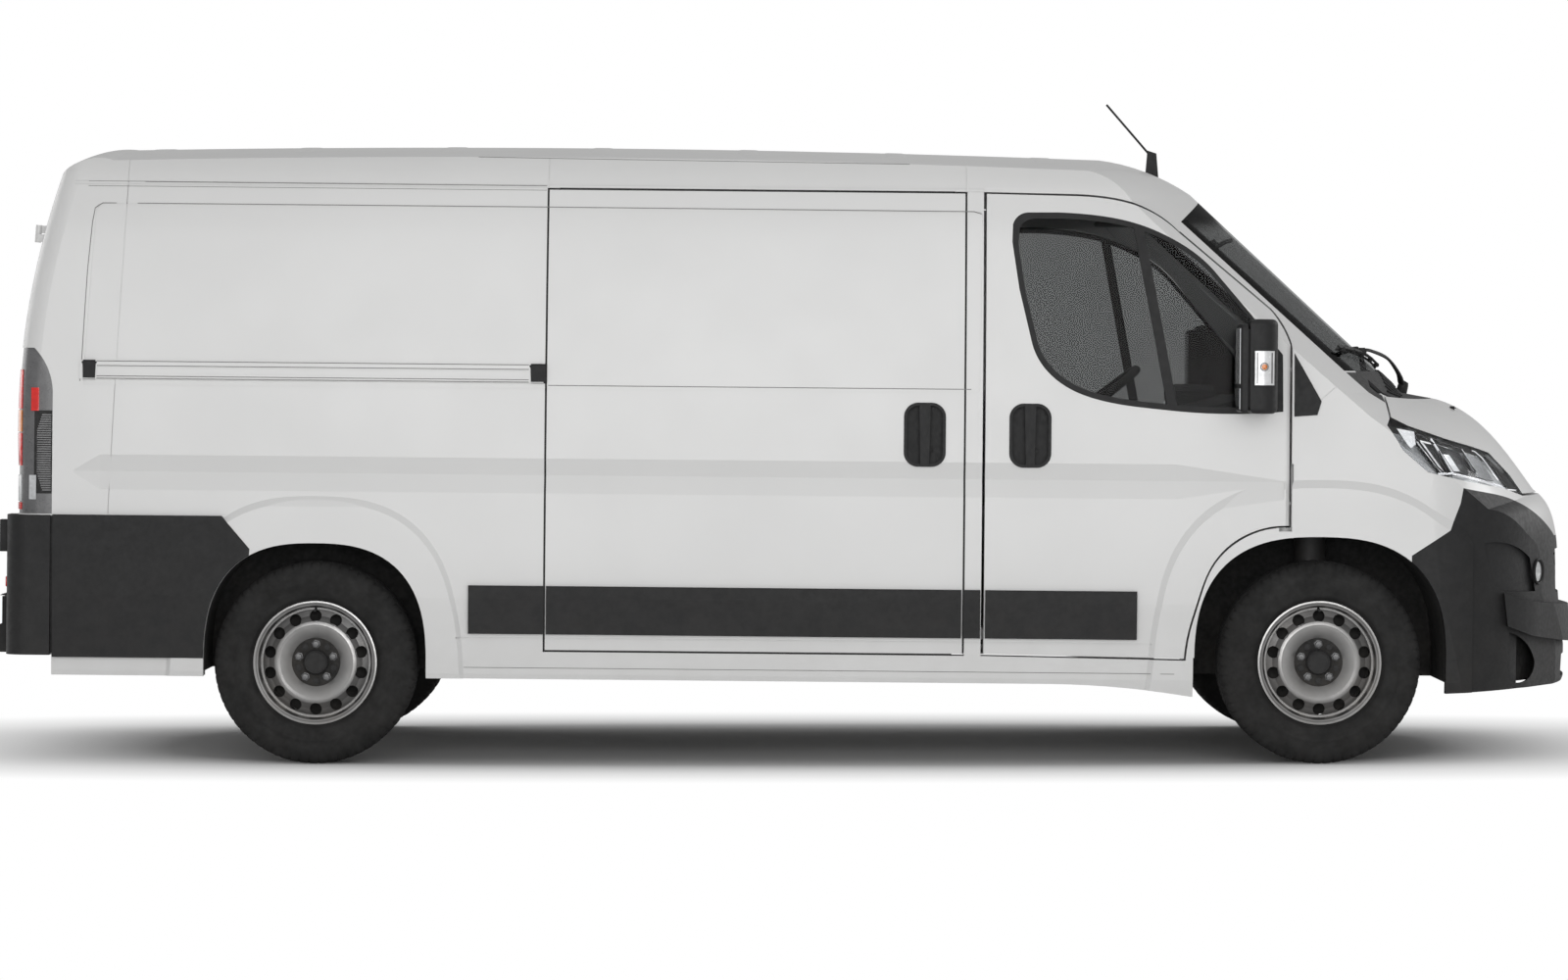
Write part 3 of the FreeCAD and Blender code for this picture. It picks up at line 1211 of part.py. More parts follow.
def strut():
    foot = AXLE_Z + 118 + 0.3
    bracket = box(FRONT - 26, FRONT + 26, 632, KINGPIN + 22, foot, foot + 22)
    damper = rod((FRONT, 660, foot), (FRONT, 660, 770), 27)
    spring = rod((FRONT, 660, 600), (FRONT, 660, 770), 56)
    strut_body = bracket.fuse([damper, spring])
    column = rod((FRONT, 660, 765), (FRONT, 660, 900), 40)
    inside = levelled(arch_slab(FRONT_ARCH, d.front_arch_half, d.front_arch_rise, 575, 1000, 100))
    return strut_body.fuse(column.common(inside)).removeSplitter()


STRUT = strut()
piece("front_struts", pair(STRUT), LEVEL)

ENGINE_LOW = 290
ENGINE = box(FRONT - 120, FRONT + 430, -330, 330, ENGINE_LOW, 900)
piece("engine", [ENGINE], LEVEL)
RADIATOR = box(FRONT + 560, FRONT + 600, -420, 420, 425, 900)
RADIATOR = RADIATOR.fuse([box(FRONT + 520, FRONT + 560, y - 35, y + 35, 425, 500) for y in (-415, 415)])
piece("radiator", [RADIATOR.removeSplitter()], LEVEL)
TANK = level_top(REAR + 900, REAR + 1600, FLOOR_UNDER, 270, -460, -120)
piece("fuel_tank", [TANK], LEVEL)
PIPE_Z = 345
EXHAUST = round_bar([(FRONT - 150, 200, PIPE_Z), (FRONT - 500, 200, PIPE_Z), (REAR + 500, 300, PIPE_Z),
                     (REAR + 160, 300, PIPE_Z), (REAR + 130, 300, 425), (REAR - 130, 300, 425),
                     (REAR - 200, 300, 380),
                     (TAIL_X + 60, 300, 320)], 27)
SILENCER = rod((REAR + 560, 300, PIPE_Z), (REAR + 860, 290, PIPE_Z), 90)
FLANGE = rod((FRONT - 120, 200, PIPE_Z), (FRONT - 150, 200, PIPE_Z), 27)
EXHAUST = EXHAUST.fuse([SILENCER, FLANGE]).removeSplitter()
piece("exhaust", [EXHAUST], LEVEL)
FIN = side_slab([(FRONT - 548, 2060), (FRONT - 500, 2060), (FRONT - 508, 2150), (FRONT - 540, 2160)], -9,
                9).cut(OUTER)
WHIP = rod((FRONT - 528, 0, 2140), (FRONT - 690, 0, 2325), 4)
ANTENNA = FIN.fuse(WHIP.cut(OUTER)).removeSplitter()
piece("antenna", [ANTENNA])


# Wheels and tyres: turned sections about the axle, which is local Y with the
# outer face towards +Y.

def origin_plane(body, role):
    for feature in body.Origin.OriginFeatures:
        if feature.Role == role:
            return feature
    raise ValueError(role)


def add_sketch(body, name, role, draw):
    sketch = body.newObject("Sketcher::SketchObject", name)
    sketch.AttachmentSupport = (origin_plane(body, role), [""])
    sketch.MapMode = "FlatFace"
    draw(sketch)
    return sketch


def bind(sketch, constraint, alias=None):
    """Adds a constraint, tied to a size where one is named."""
    index = sketch.addConstraint(constraint)
    if alias:
        sketch.setExpression("Constraints[%d]" % index, "Sizes.%s" % alias)


def closed_lines(sketch, points):
    for start, end in zip(points, points[1:] + points[:1]):
        sketch.addGeometry(Part.LineSegment(Vector(*start, 0), Vector(*end, 0)), False)


def revolve(body, name, draw):
    """Turns a section drawn as (across, radius) about the axle."""
    sketch = add_sketch(body, name + "_section", "YZ_Plane", draw)
    turned = body.newObject("PartDesign::Revolution", name)
    turned.Profile = sketch
    turned.ReferenceAxis = (sketch, ["H_Axis"])
    turned.Angle = 360
    return turned


def tyre_section(sketch):
    half = d.tyre_width / 2
    bead = d.bead_radius
    tread = d.tyre_radius
    shoulder = d.tyre_shoulder
    seat = half - 32
    wall = bead + 0.48 * (tread - bead)
    low, mid = (seat, bead + 22), (half, wall)
    top = (half - shoulder * 0.3, tread - shoulder * 0.62)
    edge = (half - shoulder, tread)
    for sign in (1, -1):
        def at(point):
            return Vector(sign * point[0], point[1], 0)
        sketch.addGeometry(Part.LineSegment(at((seat, bead)), at(low)), False)
        sketch.addGeometry(Part.Arc(at(low), at(mid), at(top)), False)
        sketch.addGeometry(Part.Arc(at(top), at((half - shoulder * 0.56, tread - shoulder * 0.2)),
                                    at(edge)), False)
    sketch.addGeometry(Part.LineSegment(Vector(seat, bead, 0), Vector(-seat, bead, 0)), False)
    sketch.addGeometry(Part.LineSegment(Vector(edge[0], tread, 0), Vector(-edge[0], tread, 0)), False)


def make_tyre(name, placement):
    body = doc.addObject("PartDesign::Body", name)
    body.Label = name
    body.Tip = revolve(body, name + "_turned", tyre_section)
    body.Placement = placement
    return body


def wheel_section(sketch):
    bead = d.bead_radius
    lip = d.rim_radius
    crest = d.vent_circle - 28
    bore = d.hub_bore_radius
    closed_lines(sketch, [
        (62, 0), (62, 34), (57, 41), (46, 42), (46, 82), (51, 90), (72, crest - 11), (76, crest - 2),
        (73, crest + 9),
        (60, d.vent_circle), (52, bead - 14), (52, bead - 7), (70, bead - 7), (86, bead + 1), (91, lip - 5),
        (90, lip),
        (82.5, lip), (80.5, bead), (-80.5, bead), (-82.5, lip), (-90, lip), (-90, bead - 6), (-80, bead - 7),
        (45, bead - 7), (45, bead - 15), (53, d.vent_circle - 1), (66, crest + 8), (69, crest - 2),
        (66, crest - 8),
        (44, 92), (38, 84), (38, 62), (HUB_FACE, 62), (HUB_FACE, bore), (SPINDLE_END, bore), (SPINDLE_END, 0),
    ])


def make_wheel(name, placement):
    body = doc.addObject("PartDesign::Body", name)
    body.Label = name
    revolve(body, name + "_turned", wheel_section)

    def one_vent(sketch):
        circle = sketch.addGeometry(Part.Circle(Vector(0, d.vent_circle, 0), Vector(0, 0, 1),
                                                d.vent_radius), False)
        bind(sketch, Sketcher.Constraint("DistanceX", -1, 1, circle, 3, 0.0))
        bind(sketch, Sketcher.Constraint("DistanceY", -1, 1, circle, 3, d.vent_circle), "vent_circle")
        bind(sketch, Sketcher.Constraint("Radius", circle, d.vent_radius), "vent_radius")

    def one_bolt(sketch):
        corners = [(d.bolt_radius * math.sin(math.radians(60 * i)),
                    d.bolt_circle + d.bolt_radius * math.cos(math.radians(60 * i)))
                   for i in range(6)]
        closed_lines(sketch, corners)

    vent = body.newObject("PartDesign::Pocket", name + "_vent")
    vent.Profile = add_sketch(body, name + "_vent_sketch", "XZ_Plane", one_vent)
    vent.Type = 0
    vent.Length = 85
    doc.recompute()
    before = body.Shape.Volume
    vent.Reversed = True
    doc.recompute()
    if body.Shape.Volume > before:
        vent.Reversed = False
    vents = body.newObject("PartDesign::PolarPattern", name + "_vents")
    vents.Originals = [vent]
    vents.Axis = (origin_plane(body, "Y_Axis"), [""])
    vents.Angle = 360
    vents.setExpression("Occurrences", "Sizes.vent_count")
    body.Tip = vents
    doc.recompute()
    bolt_sketch = add_sketch(body, name + "_bolt_sketch", "XZ_Plane", one_bolt)
    bolt_sketch.AttachmentOffset = Placement(Vector(0, 0, -44), Rotation())
    bolt = body.newObject("PartDesign::Pad", name + "_bolt")
    bolt.Profile = bolt_sketch
    bolt.Length = 14
    bolt.Reversed = True
    bolts = body.newObject("PartDesign::PolarPattern", name + "_bolts")
    bolts.Originals = [bolt]
    bolts.Axis = (origin_plane(body, "Y_Axis"), [""])
    bolts.Angle = 360
    bolts.Occurrences = 5
    body.Tip = bolts
    body.Placement = placement
    return body


WHEELS = (
    ("front_left", FRONT, d.front_track / 2, 0), ("front_right", FRONT, -d.front_track / 2, 180),
    ("rear_left", REAR, d.rear_track / 2, 0), ("rear_right", REAR, -d.rear_track / 2, 180),
)
for corner, x, y, turn in WHEELS:
    place = Placement(Vector(MID_X + x, y, AXLE_Z), Rotation(Vector(0, 0, 1), turn))
    make_tyre("tyre_" + corner, place)
    make_wheel("wheel_" + corner, place)

doc.recompute()
exported = 0
for item in doc.Objects:
    if {"Invalid", "Error"} & set(item.State):
        raise RuntimeError("%s did not build: %s" % (item.Name, item.State))
for item in doc.Objects:
    if item.TypeId not in ("Part::Feature", "PartDesign::Body"):
        continue
    shape = item.Shape
    if shape.isNull() or not shape.isValid():
        raise RuntimeError("%s has a bad shape" % item.Label)
    shape.exportStep("parts/%s.step" % item.Label)
    exported += 1
print("exported", exported)
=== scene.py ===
"""A white panel van: materials, seats, tyres, lamps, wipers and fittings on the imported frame."""
import math

import bmesh
import bpy
from mathutils import Matrix, Vector
from mathutils.bvhtree import BVHTree


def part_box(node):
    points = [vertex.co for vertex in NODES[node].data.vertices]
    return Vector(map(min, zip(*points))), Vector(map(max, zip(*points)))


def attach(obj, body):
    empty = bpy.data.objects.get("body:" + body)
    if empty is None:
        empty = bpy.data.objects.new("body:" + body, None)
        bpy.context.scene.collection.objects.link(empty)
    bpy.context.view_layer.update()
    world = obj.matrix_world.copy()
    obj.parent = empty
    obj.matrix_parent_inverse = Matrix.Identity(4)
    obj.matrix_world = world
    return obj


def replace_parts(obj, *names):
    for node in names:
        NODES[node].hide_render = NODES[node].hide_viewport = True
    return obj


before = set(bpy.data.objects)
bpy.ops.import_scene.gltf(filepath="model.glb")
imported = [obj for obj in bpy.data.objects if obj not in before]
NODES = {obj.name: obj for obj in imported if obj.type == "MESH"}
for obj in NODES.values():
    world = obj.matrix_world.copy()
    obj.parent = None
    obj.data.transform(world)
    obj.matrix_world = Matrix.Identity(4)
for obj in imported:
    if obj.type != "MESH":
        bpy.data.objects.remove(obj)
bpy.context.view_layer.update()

# The part's main sizes, in metres. Body pieces are made in the van's level frame,
# whose zero is midway between the axles, and BODY tips them nose-down as it stands.
FRONT = 1.725
REAR = -1.725
TAIL = REAR - 1.032
AXLE_Z = 0.348
TYRE_RADIUS = 0.348
MID_X = 0.0625
HALF = 1.014
DRIVER_Y = 0.48
BULKHEAD = FRONT - 1.3
RAKE = math.radians(0.54)
LEVEL = Matrix.Translation((MID_X, 0, 0))
BODY = (Matrix.Translation((MID_X, 0, AXLE_Z)) @ Matrix.Rotation(RAKE, 4, "Y")
        @ Matrix.Translation((0, 0, -AXLE_Z)))
UNBODY = BODY.inverted()
X, Y, Z = Vector((1, 0, 0)), Vector((0, 1, 0)), Vector((0, 0, 1))

# Rays that look for a surface start from here: beside, behind and above the van. FAR is past all of it.
BESIDE = 1.4
BEHIND = -3.4
ABOVE = 2.6
FAR = 9.0

# Materials. Each is built from noise, bump and height, in object coordinates,
# which are row-frame metres because every piece keeps its origin at zero.


def new_material(name):
    mat = bpy.data.materials.new(name)
    mat.use_nodes = True
    tree = mat.node_tree
    return mat, tree, tree.nodes["Principled BSDF"]


def feed(tree, socket, value):
    """Gives a socket a number or a colour, or links another socket to it."""
    if isinstance(value, bpy.types.NodeSocket):
        tree.links.new(value, socket)
    elif isinstance(value, tuple):
        socket.default_value = (*value, 1)
    else:
        socket.default_value = value


def noise(tree, scale, detail=4.0, stretch=None):
    source = tree.nodes.new("ShaderNodeTexCoord").outputs["Object"]
    if stretch:
        mapping = tree.nodes.new("ShaderNodeMapping")
        mapping.inputs["Scale"].default_value = stretch
        tree.links.new(source, mapping.inputs["Vector"])
        source = mapping.outputs["Vector"]
    tex = tree.nodes.new("ShaderNodeTexNoise")
    for socket, value in (("Scale", scale), ("Detail", detail), ("Roughness", 0.55), ("Vector", source)):
        feed(tree, tex.inputs[socket], value)
    return tex.outputs["Fac"]


def ramp(tree, value, low, high, start=0.35, end=0.65):
    """Value mapped to a blend of two colours."""
    node = tree.nodes.new("ShaderNodeValToRGB")
    for element, place, colour in zip(node.color_ramp.elements, (start, end), (low, high)):
        element.position = place
        element.color = (*colour, 1)
    tree.links.new(value, node.inputs["Fac"])
    return node.outputs["Color"]


def span(tree, value, low, high, start=0.3, end=0.7):
    """Value mapped to a number from low to high."""
    node = tree.nodes.new("ShaderNodeMapRange")
    settings = (("From Min", start), ("From Max", end), ("To Min", low), ("To Max", high), ("Value", value))
    for socket, setting in settings:
        feed(tree, node.inputs[socket], setting)
    return node.outputs["Result"]


def bump(tree, shader, value, strength, distance=0.001):
    node = tree.nodes.new("ShaderNodeBump")
    node.inputs["Strength"].default_value = strength
    node.inputs["Distance"].default_value = distance
    tree.links.new(value, node.inputs["Height"])
    tree.links.new(node.outputs["Normal"], shader.inputs["Normal"])


def mix(tree, factor, a, b, blend="MIX"):
    """Two colours blended by a factor, or multiplied."""
    node = tree.nodes.new("ShaderNodeMix")
    node.data_type = "RGBA"
    node.blend_type = blend
    # The first A and B sockets belong to other data types, so the colour ones are picked by type.
    sockets = [s for s in node.inputs if s.name in ("A", "B") and s.type == "RGBA"]
    for socket, value in zip((node.inputs["Factor"], *sockets), (factor, a, b)):
        feed(tree, socket, value)
    return [s for s in node.outputs if s.type == "RGBA"][0]


def math_node(tree, operation, a, b=0.0):
    node = tree.nodes.new("ShaderNodeMath")
    node.operation = operation
    for socket, value in zip(node.inputs, (a, b)):
        feed(tree, socket, value)
    return node.outputs["Value"]


def along(tree, axis):
    """The row-frame coordinate along X, Y or Z, in metres."""
    coords = tree.nodes.new("ShaderNodeTexCoord")
    split = tree.nodes.new("ShaderNodeSeparateXYZ")
    tree.links.new(coords.outputs["Object"], split.inputs["Vector"])
    return split.outputs[axis]


def surface_material(name, colour, rough, vary=0.06, scale=6.0, grain=0.15, grain_scale=900.0, metal=0.0,
                     dust=0.0, dust_colour=(0.24, 0.21, 0.18), dust_top=0.75, coat=0.0, spec=0.5,
                     stretch=None, shade=None):
    """A finish with cloudy colour, painted light and shade where a shade function is given, fine grain in the
    gloss and bump, and road dust low down.
    """
    mat, tree, shader = new_material(name)
    dark = tuple(c * (1 - vary) for c in colour)
    light = tuple(min(1.0, c * (1 + vary)) for c in colour)
    tone = ramp(tree, noise(tree, scale, stretch=stretch), dark, light)
    # Painted light and shade: a shade function lays painted highlights and painted shade over the colour;
    # only the wheels have one.
    if shade:
        tone = shade(tree, tone)
    if dust:
        cloud = span(tree, noise(tree, 9.0), 0.0, 1.0, 0.32, 0.68)
        low_down = span(tree, along(tree, "Z"), 1.0, 0.0, 0.2, dust_top)
        amount = math_node(tree, "MULTIPLY", math_node(tree, "MULTIPLY", cloud, low_down), dust)
        tone = mix(tree, amount, tone, dust_colour)
    gloss = span(tree, noise(tree, scale * 3), rough * 0.85, min(1.0, rough * 1.15))
    settings = [("Base Color", tone), ("Roughness", gloss), ("Metallic", metal), ("Specular IOR Level", spec)]
    if coat:
        settings += [("Coat Weight", coat), ("Coat Roughness", 0.08)]
    for socket, value in settings:
        feed(tree, shader.inputs[socket], value)
    if grain:
        bump(tree, shader, noise(tree, grain_scale, detail=2.0, stretch=stretch), grain)
    return mat


# Radius out from the axle, and how bright the paint is there: painted highlights on the crest and on lines
# round the rim, painted shade round the vents and between the rim lines.
WHEEL_PAINTED_LIGHT = ((0.08, 0.45), (0.098, 0.62), (0.118, 0.95), (0.132, 0.85), (0.142, 0.34), (0.176, 0.26),
                (0.188, 0.42), (0.193, 0.2), (0.198, 0.75), (0.203, 0.28), (0.207, 0.85))


def painted_wheel_light(tree, tone):
    """Painted light and shade on pressed steel: highlights on its crest and rim lines, shade round the vents,
    going out from the nearer axle.
    """
    from_middle = math_node(tree, "ABSOLUTE", math_node(tree, "SUBTRACT", along(tree, "X"), MID_X))
    side = math_node(tree, "SUBTRACT", from_middle, FRONT)
    up = math_node(tree, "SUBTRACT", along(tree, "Z"), AXLE_Z)
    square = math_node(tree, "ADD", math_node(tree, "MULTIPLY", side, side),
                       math_node(tree, "MULTIPLY", up, up))
    radius = math_node(tree, "SQRT", square)
    node = tree.nodes.new("ShaderNodeValToRGB")
    while len(node.color_ramp.elements) < len(WHEEL_PAINTED_LIGHT):
        node.color_ramp.elements.new(0.5)
    for element, (place, level) in zip(node.color_ramp.elements, WHEEL_PAINTED_LIGHT):
        element.position = place / TYRE_RADIUS
        element.color = (level, level, level, 1)
    tree.links.new(math_node(tree, "DIVIDE", radius, TYRE_RADIUS), node.inputs["Fac"])
    return mix(tree, 1.0, tone, node.outputs["Color"], "MULTIPLY")


def glass_material(name, colour, ior=1.06, rough=0.01, coat=0.0, frit=False):
    mat, tree, shader = new_material(name)
    tone = ramp(tree, noise(tree, 3.0), tuple(c * 0.94 for c in colour), colour)
    if frit:
        # The black band printed round the windscreen's edge.
        top = span(tree, along(tree, "Z"), 0.0, 1.0, 1.86, 1.9)
        side = span(tree, math_node(tree, "ABSOLUTE", along(tree, "Y")), 0.0, 1.0, 0.69, 0.705)
        tone = mix(tree, math_node(tree, "MAXIMUM", top, side), tone, (0.004, 0.004, 0.004))
    for socket, value in (("Base Color", tone), ("Transmission Weight", 1.0), ("IOR", ior),
                          ("Coat Weight", coat), ("Coat Roughness", 0.02),
                          ("Roughness", span(tree, noise(tree, 12.0), rough, rough * 2))):
        feed(tree, shader.inputs[socket], value)
    return mat


def fabric_material(name, colour):
    """A woven seat cloth: two crossing wave sets for the yarns, with cloudy wear."""
    mat, tree, shader = new_material(name)
    coords = tree.nodes.new("ShaderNodeTexCoord")
    yarns = []
    for direction in ("X", "Y", "Z"):
        wave = tree.nodes.new("ShaderNodeTexWave")
        wave.bands_direction = direction
        wave.inputs["Scale"].default_value = 170.0
        wave.inputs["Distortion"].default_value = 0.8
        tree.links.new(coords.outputs["Object"], wave.inputs["Vector"])
        yarns.append(wave.outputs["Fac"])
    weave = math_node(tree, "MULTIPLY", math_node(tree, "ADD", yarns[0], yarns[2]), yarns[1])
    tone = ramp(tree, weave, tuple(c * 0.6 for c in colour), colour, 0.1, 0.9)
    worn = mix(tree, span(tree, noise(tree, 7.0), 0.0, 0.5), tone, tuple(c * 1.4 for c in colour))
    for socket, value in (("Base Color", worn), ("Roughness", 0.92), ("Sheen Weight", 0.35),
                          ("Sheen Roughness", 0.5)):
        feed(tree, shader.inputs[socket], value)
    bump(tree, shader, weave, 0.6, 0.0006)
    return mat


# What each finish is made of. Lamp lenses and headlamp bowls share their grain.
LENS = dict(rough=0.12, vary=0.1, scale=60.0, grain=0.1, grain_scale=300.0, coat=0.6)
BOWL = dict(vary=0.12, scale=26.0, grain=0.05, grain_scale=300.0, coat=0.2)
SURFACES = {
    "body_paint": dict(colour=(0.66, 0.66, 0.655), rough=0.38, vary=0.015, scale=1.4, grain=0.02,
                       grain_scale=260.0, dust=0.08, coat=0.25),
    "dark_plastic": dict(colour=(0.019, 0.019, 0.0195), rough=0.55, spec=0.25, vary=0.1, scale=22.0,
                         grain=0.35, grain_scale=1400.0, dust=0.04),
    "mirror_silver": dict(colour=(0.2, 0.205, 0.21), rough=0.06, vary=0.04, scale=9.0, metal=1.0),
    "headlamp_shell": dict(BOWL, colour=(0.36, 0.365, 0.37), rough=0.3, metal=0.1),
    "headlamp_bowl": dict(BOWL, colour=(0.72, 0.725, 0.73), rough=0.25, metal=0.15),
    "headlamp_fluted": dict(colour=(0.135, 0.137, 0.14), rough=0.36, vary=0.45, scale=160.0, grain=0.9,
                            grain_scale=420.0),
    "lamp_red": dict(LENS, colour=(0.66, 0.016, 0.012)),
    "lamp_amber": dict(LENS, colour=(0.62, 0.17, 0.012)),
    "lamp_pale": dict(LENS, colour=(0.52, 0.53, 0.54), vary=0.12),
    "lamp_grey": dict(colour=(0.115, 0.115, 0.118), rough=0.3, vary=0.1, scale=30.0, grain_scale=700.0,
                      coat=0.3),
    "chrome": dict(colour=(0.78, 0.78, 0.79), rough=0.14, vary=0.05, scale=40.0, grain=0.03,
                   grain_scale=500.0, metal=0.95),
    # The wheels get painted highlights and painted shade by radius.
    "wheel_silver": dict(colour=(0.52, 0.515, 0.51), rough=0.34, scale=20.0, grain=0.08, grain_scale=700.0,
                         metal=0.75, dust=0.22, dust_top=0.7, shade=painted_wheel_light),
    "tyre": dict(colour=(0.017, 0.017, 0.0168), rough=0.8, spec=0.25, vary=0.3, scale=14.0, grain=0.5,
                 grain_scale=800.0, dust=0.1, dust_colour=(0.1, 0.09, 0.085), dust_top=0.8),
    "chassis_black": dict(colour=(0.02, 0.02, 0.021), rough=0.58, vary=0.15, scale=14.0, grain=0.3, dust=0.25,
                          dust_top=0.9),
    "cast_iron": dict(colour=(0.11, 0.1, 0.095), rough=0.68, vary=0.18, scale=30.0, grain=0.8,
                      grain_scale=320.0, metal=0.5, dust=0.3),
    "steel": dict(colour=(0.34, 0.34, 0.345), rough=0.38, vary=0.08, scale=24.0, grain=0.2, metal=0.9,
                  dust=0.25),
    "liner_black": dict(colour=(0.01, 0.01, 0.01), rough=0.86, vary=0.2, scale=18.0, grain=0.6,
                        grain_scale=500.0, dust=0.12),
    "rubber": dict(colour=(0.012, 0.012, 0.012), rough=0.7, vary=0.15, scale=30.0, grain=0.3),
    "dash_plastic": dict(colour=(0.04, 0.041, 0.044), rough=0.62, scale=16.0, grain=0.6, grain_scale=1100.0),
    "trim_grey": dict(colour=(0.21, 0.21, 0.205), rough=0.7, scale=16.0, grain=0.5),
    "plywood": dict(colour=(0.1, 0.062, 0.038), rough=0.5, vary=0.25, scale=5.0, grain=0.5, grain_scale=120.0,
                    stretch=(0.3, 6.0, 6.0)),
    "plate_white": dict(colour=(0.7, 0.7, 0.68), rough=0.3, vary=0.03, scale=10.0, grain=0.08,
                        grain_scale=500.0, dust=0.1),
}
GLASSES = {
    "glass": dict(colour=(0.3, 0.305, 0.305), ior=1.05, coat=0.1),
    "screen_glass": dict(colour=(0.28, 0.285, 0.285), ior=1.0, coat=0.12, frit=True),
    "lamp_clear": dict(colour=(0.95, 0.96, 0.97), ior=1.0, coat=0.12),
}
MATERIALS = {name: surface_material(name, **look) for name, look in SURFACES.items()}
MATERIALS.update({name: glass_material(name, **look) for name, look in GLASSES.items()})
MATERIALS["seat_fabric"] = fabric_material("seat_fabric", (0.06, 0.064, 0.075))
for node in NODES.values():
    for place in node.material_slots:
        if place.material and place.material.name.split(".")[0] in MATERIALS:
            place.material = MATERIALS[place.material.name.split(".")[0]]
for place in NODES["windscreen"].material_slots:
    place.material = MATERIALS["screen_glass"]

# Shapes. Each is a bmesh in the body's level frame, and a piece joins several of them.


def round_edges(bm, radius, steps):
    if radius:
        bmesh.ops.bevel(bm, geom=bm.edges[:], offset=radius, segments=steps, affect="EDGES",
                        clamp_overlap=True)
    return bm


def box(low, high, radius=0.004, steps=2):
    """A block with rounded edges."""
    low, high = Vector(low), Vector(high)
    bm = bmesh.new()
    bmesh.ops.create_cube(bm, size=1.0)
    for vert in bm.verts:
        vert.co = Vector([(low[i] + high[i]) / 2 + vert.co[i] * (high[i] - low[i]) for i in range(3)])
    return round_edges(bm, radius, steps)


def boss(point, below, above, radius):
    """A rounded block round a point, reaching below and above it by the two vectors."""
    return box(point - Vector(below), point + Vector(above), radius)


def prism(outline, push, radius=0.003, steps=2):
    """A closed outline pushed along a vector, with its edges rounded."""
    bm = bmesh.new()
    face = bm.faces.new([bm.verts.new(p) for p in outline])
    extruded = bmesh.ops.extrude_face_region(bm, geom=[face])["geom"]
    bmesh.ops.translate(bm, verts=[v for v in extruded if isinstance(v, bmesh.types.BMVert)],
                        vec=Vector(push))
    bmesh.ops.recalc_face_normals(bm, faces=bm.faces)
    return round_edges(bm, radius, steps)


def slab(centre, normal, wide, tall, thick, radius):
    """A plate square to a normal, its long side along Y, with rounded corners and a soft front edge."""
    normal = normal.normalized()
    across = Y if abs(normal.y) < 0.7 else X
    up = normal.cross(across).normalized()
    across = up.cross(normal).normalized()
    outline = []
    for corner in range(4):
        sx = 1 if corner in (0, 3) else -1
        sz = 1 if corner in (0, 1) else -1
        for step in range(5):
            angle = math.pi / 2 * (corner + step / 4.0)
            middle = across * (sx * (wide / 2 - radius)) + up * (sz * (tall / 2 - radius))
            turn = across * (math.cos(angle) * radius) + up * (math.sin(angle) * radius)
            outline.append(centre + middle + turn)
    return prism([p - normal * (thick / 2) for p in outline], normal * thick, min(0.0012, thick / 4), 2)


def turned(profile, origin, axis, steps=48):
    """Points (along, out) turned about an axis, from one end on the axis to the other."""
    axis = Vector(axis).normalized()
    across = axis.orthogonal().normalized()
    other = axis.cross(across)
    bm = bmesh.new()
    rings = []
    for reach, out in profile:
        base = Vector(origin) + axis * reach
        if out < 1e-6:
            rings.append([bm.verts.new(base)])
        else:
            angles = [2 * math.pi * i / steps for i in range(steps)]
            spokes = [across * math.cos(angle) + other * math.sin(angle) for angle in angles]
            rings.append([bm.verts.new(base + spoke * out) for spoke in spokes])
    for first, second in zip(rings, rings[1:]):
        for i in range(steps):
            j = (i + 1) % steps
            corners = [first[i % len(first)], first[j % len(first)], second[j % len(second)],
                       second[i % len(second)]]
            unique = list(dict.fromkeys(corners))
            if len(unique) > 2:
                bm.faces.new(unique)
    bmesh.ops.recalc_face_normals(bm, faces=bm.faces)
    return bm


def smooth_path(points, parts=6):
    """A Catmull-Rom line through the points."""
    points = [Vector(p) for p in points]
    line = []
    for i in range(len(points) - 1):
        a = points[max(i - 1, 0)]
        b, c = points[i], points[i + 1]
        e = points[min(i + 2, len(points) - 1)]
        square, cube = 2 * a - 5 * b + 4 * c - e, 3 * b - a - 3 * c + e
        for step in range(parts):
            t = step / parts
            line.append(0.5 * (2 * b + (c - a) * t + square * t ** 2 + cube * t ** 3))
    return line + [points[-1]]


def bar(points, width, thick, up, sides=10, closed=False, taper=None):
    """A bar with an oval section swept along points.

    up is the section's thin direction, one for the whole bar or one for each point.
    """
    points = [Vector(p) for p in points]
    bm = bmesh.new()
    rings = []
    count = len(points)
    for i, point in enumerate(points):
        if closed:
            ahead, behind = points[(i + 1) % count], points[i - 1]
        else:
            ahead, behind = points[min(i + 1, count - 1)], points[max(i - 1, 0)]
        along_path = (ahead - behind).normalized()
        rise = Vector(up[i] if isinstance(up, list) else up)
        side = along_path.cross(rise).normalized()
        rise = side.cross(along_path).normalized()
        size = taper(i / (count - 1)) if taper else 1.0
        ring = []
        for step in range(sides):
            angle = 2 * math.pi * step / sides
            flat, tall = [math.copysign(abs(part) ** 0.6, part) * size / 2
                          for part in (math.cos(angle), math.sin(angle))]
            ring.append(bm.verts.new(point + side * (flat * width) + rise * (tall * thick)))
        rings.append(ring)
    pairs = list(zip(rings, rings[1:])) + ([(rings[-1], rings[0])] if closed else [])
    for first, second in pairs:
        for i in range(sides):
            j = (i + 1) % sides
            bm.faces.new((first[i], first[j], second[j], second[i]))
    if not closed:
        bm.faces.new(list(reversed(rings[0])))
        bm.faces.new(rings[-1])
    bmesh.ops.recalc_face_normals(bm, faces=bm.faces)
    return bm


def tree_of(name):
    """A ray-cast tree over a CAD node, in the body's level frame."""
    data = NODES[name].data
    verts = [UNBODY @ v.co for v in data.vertices]
    return BVHTree.FromPolygons(verts, [list(f.vertices) for f in data.polygons])


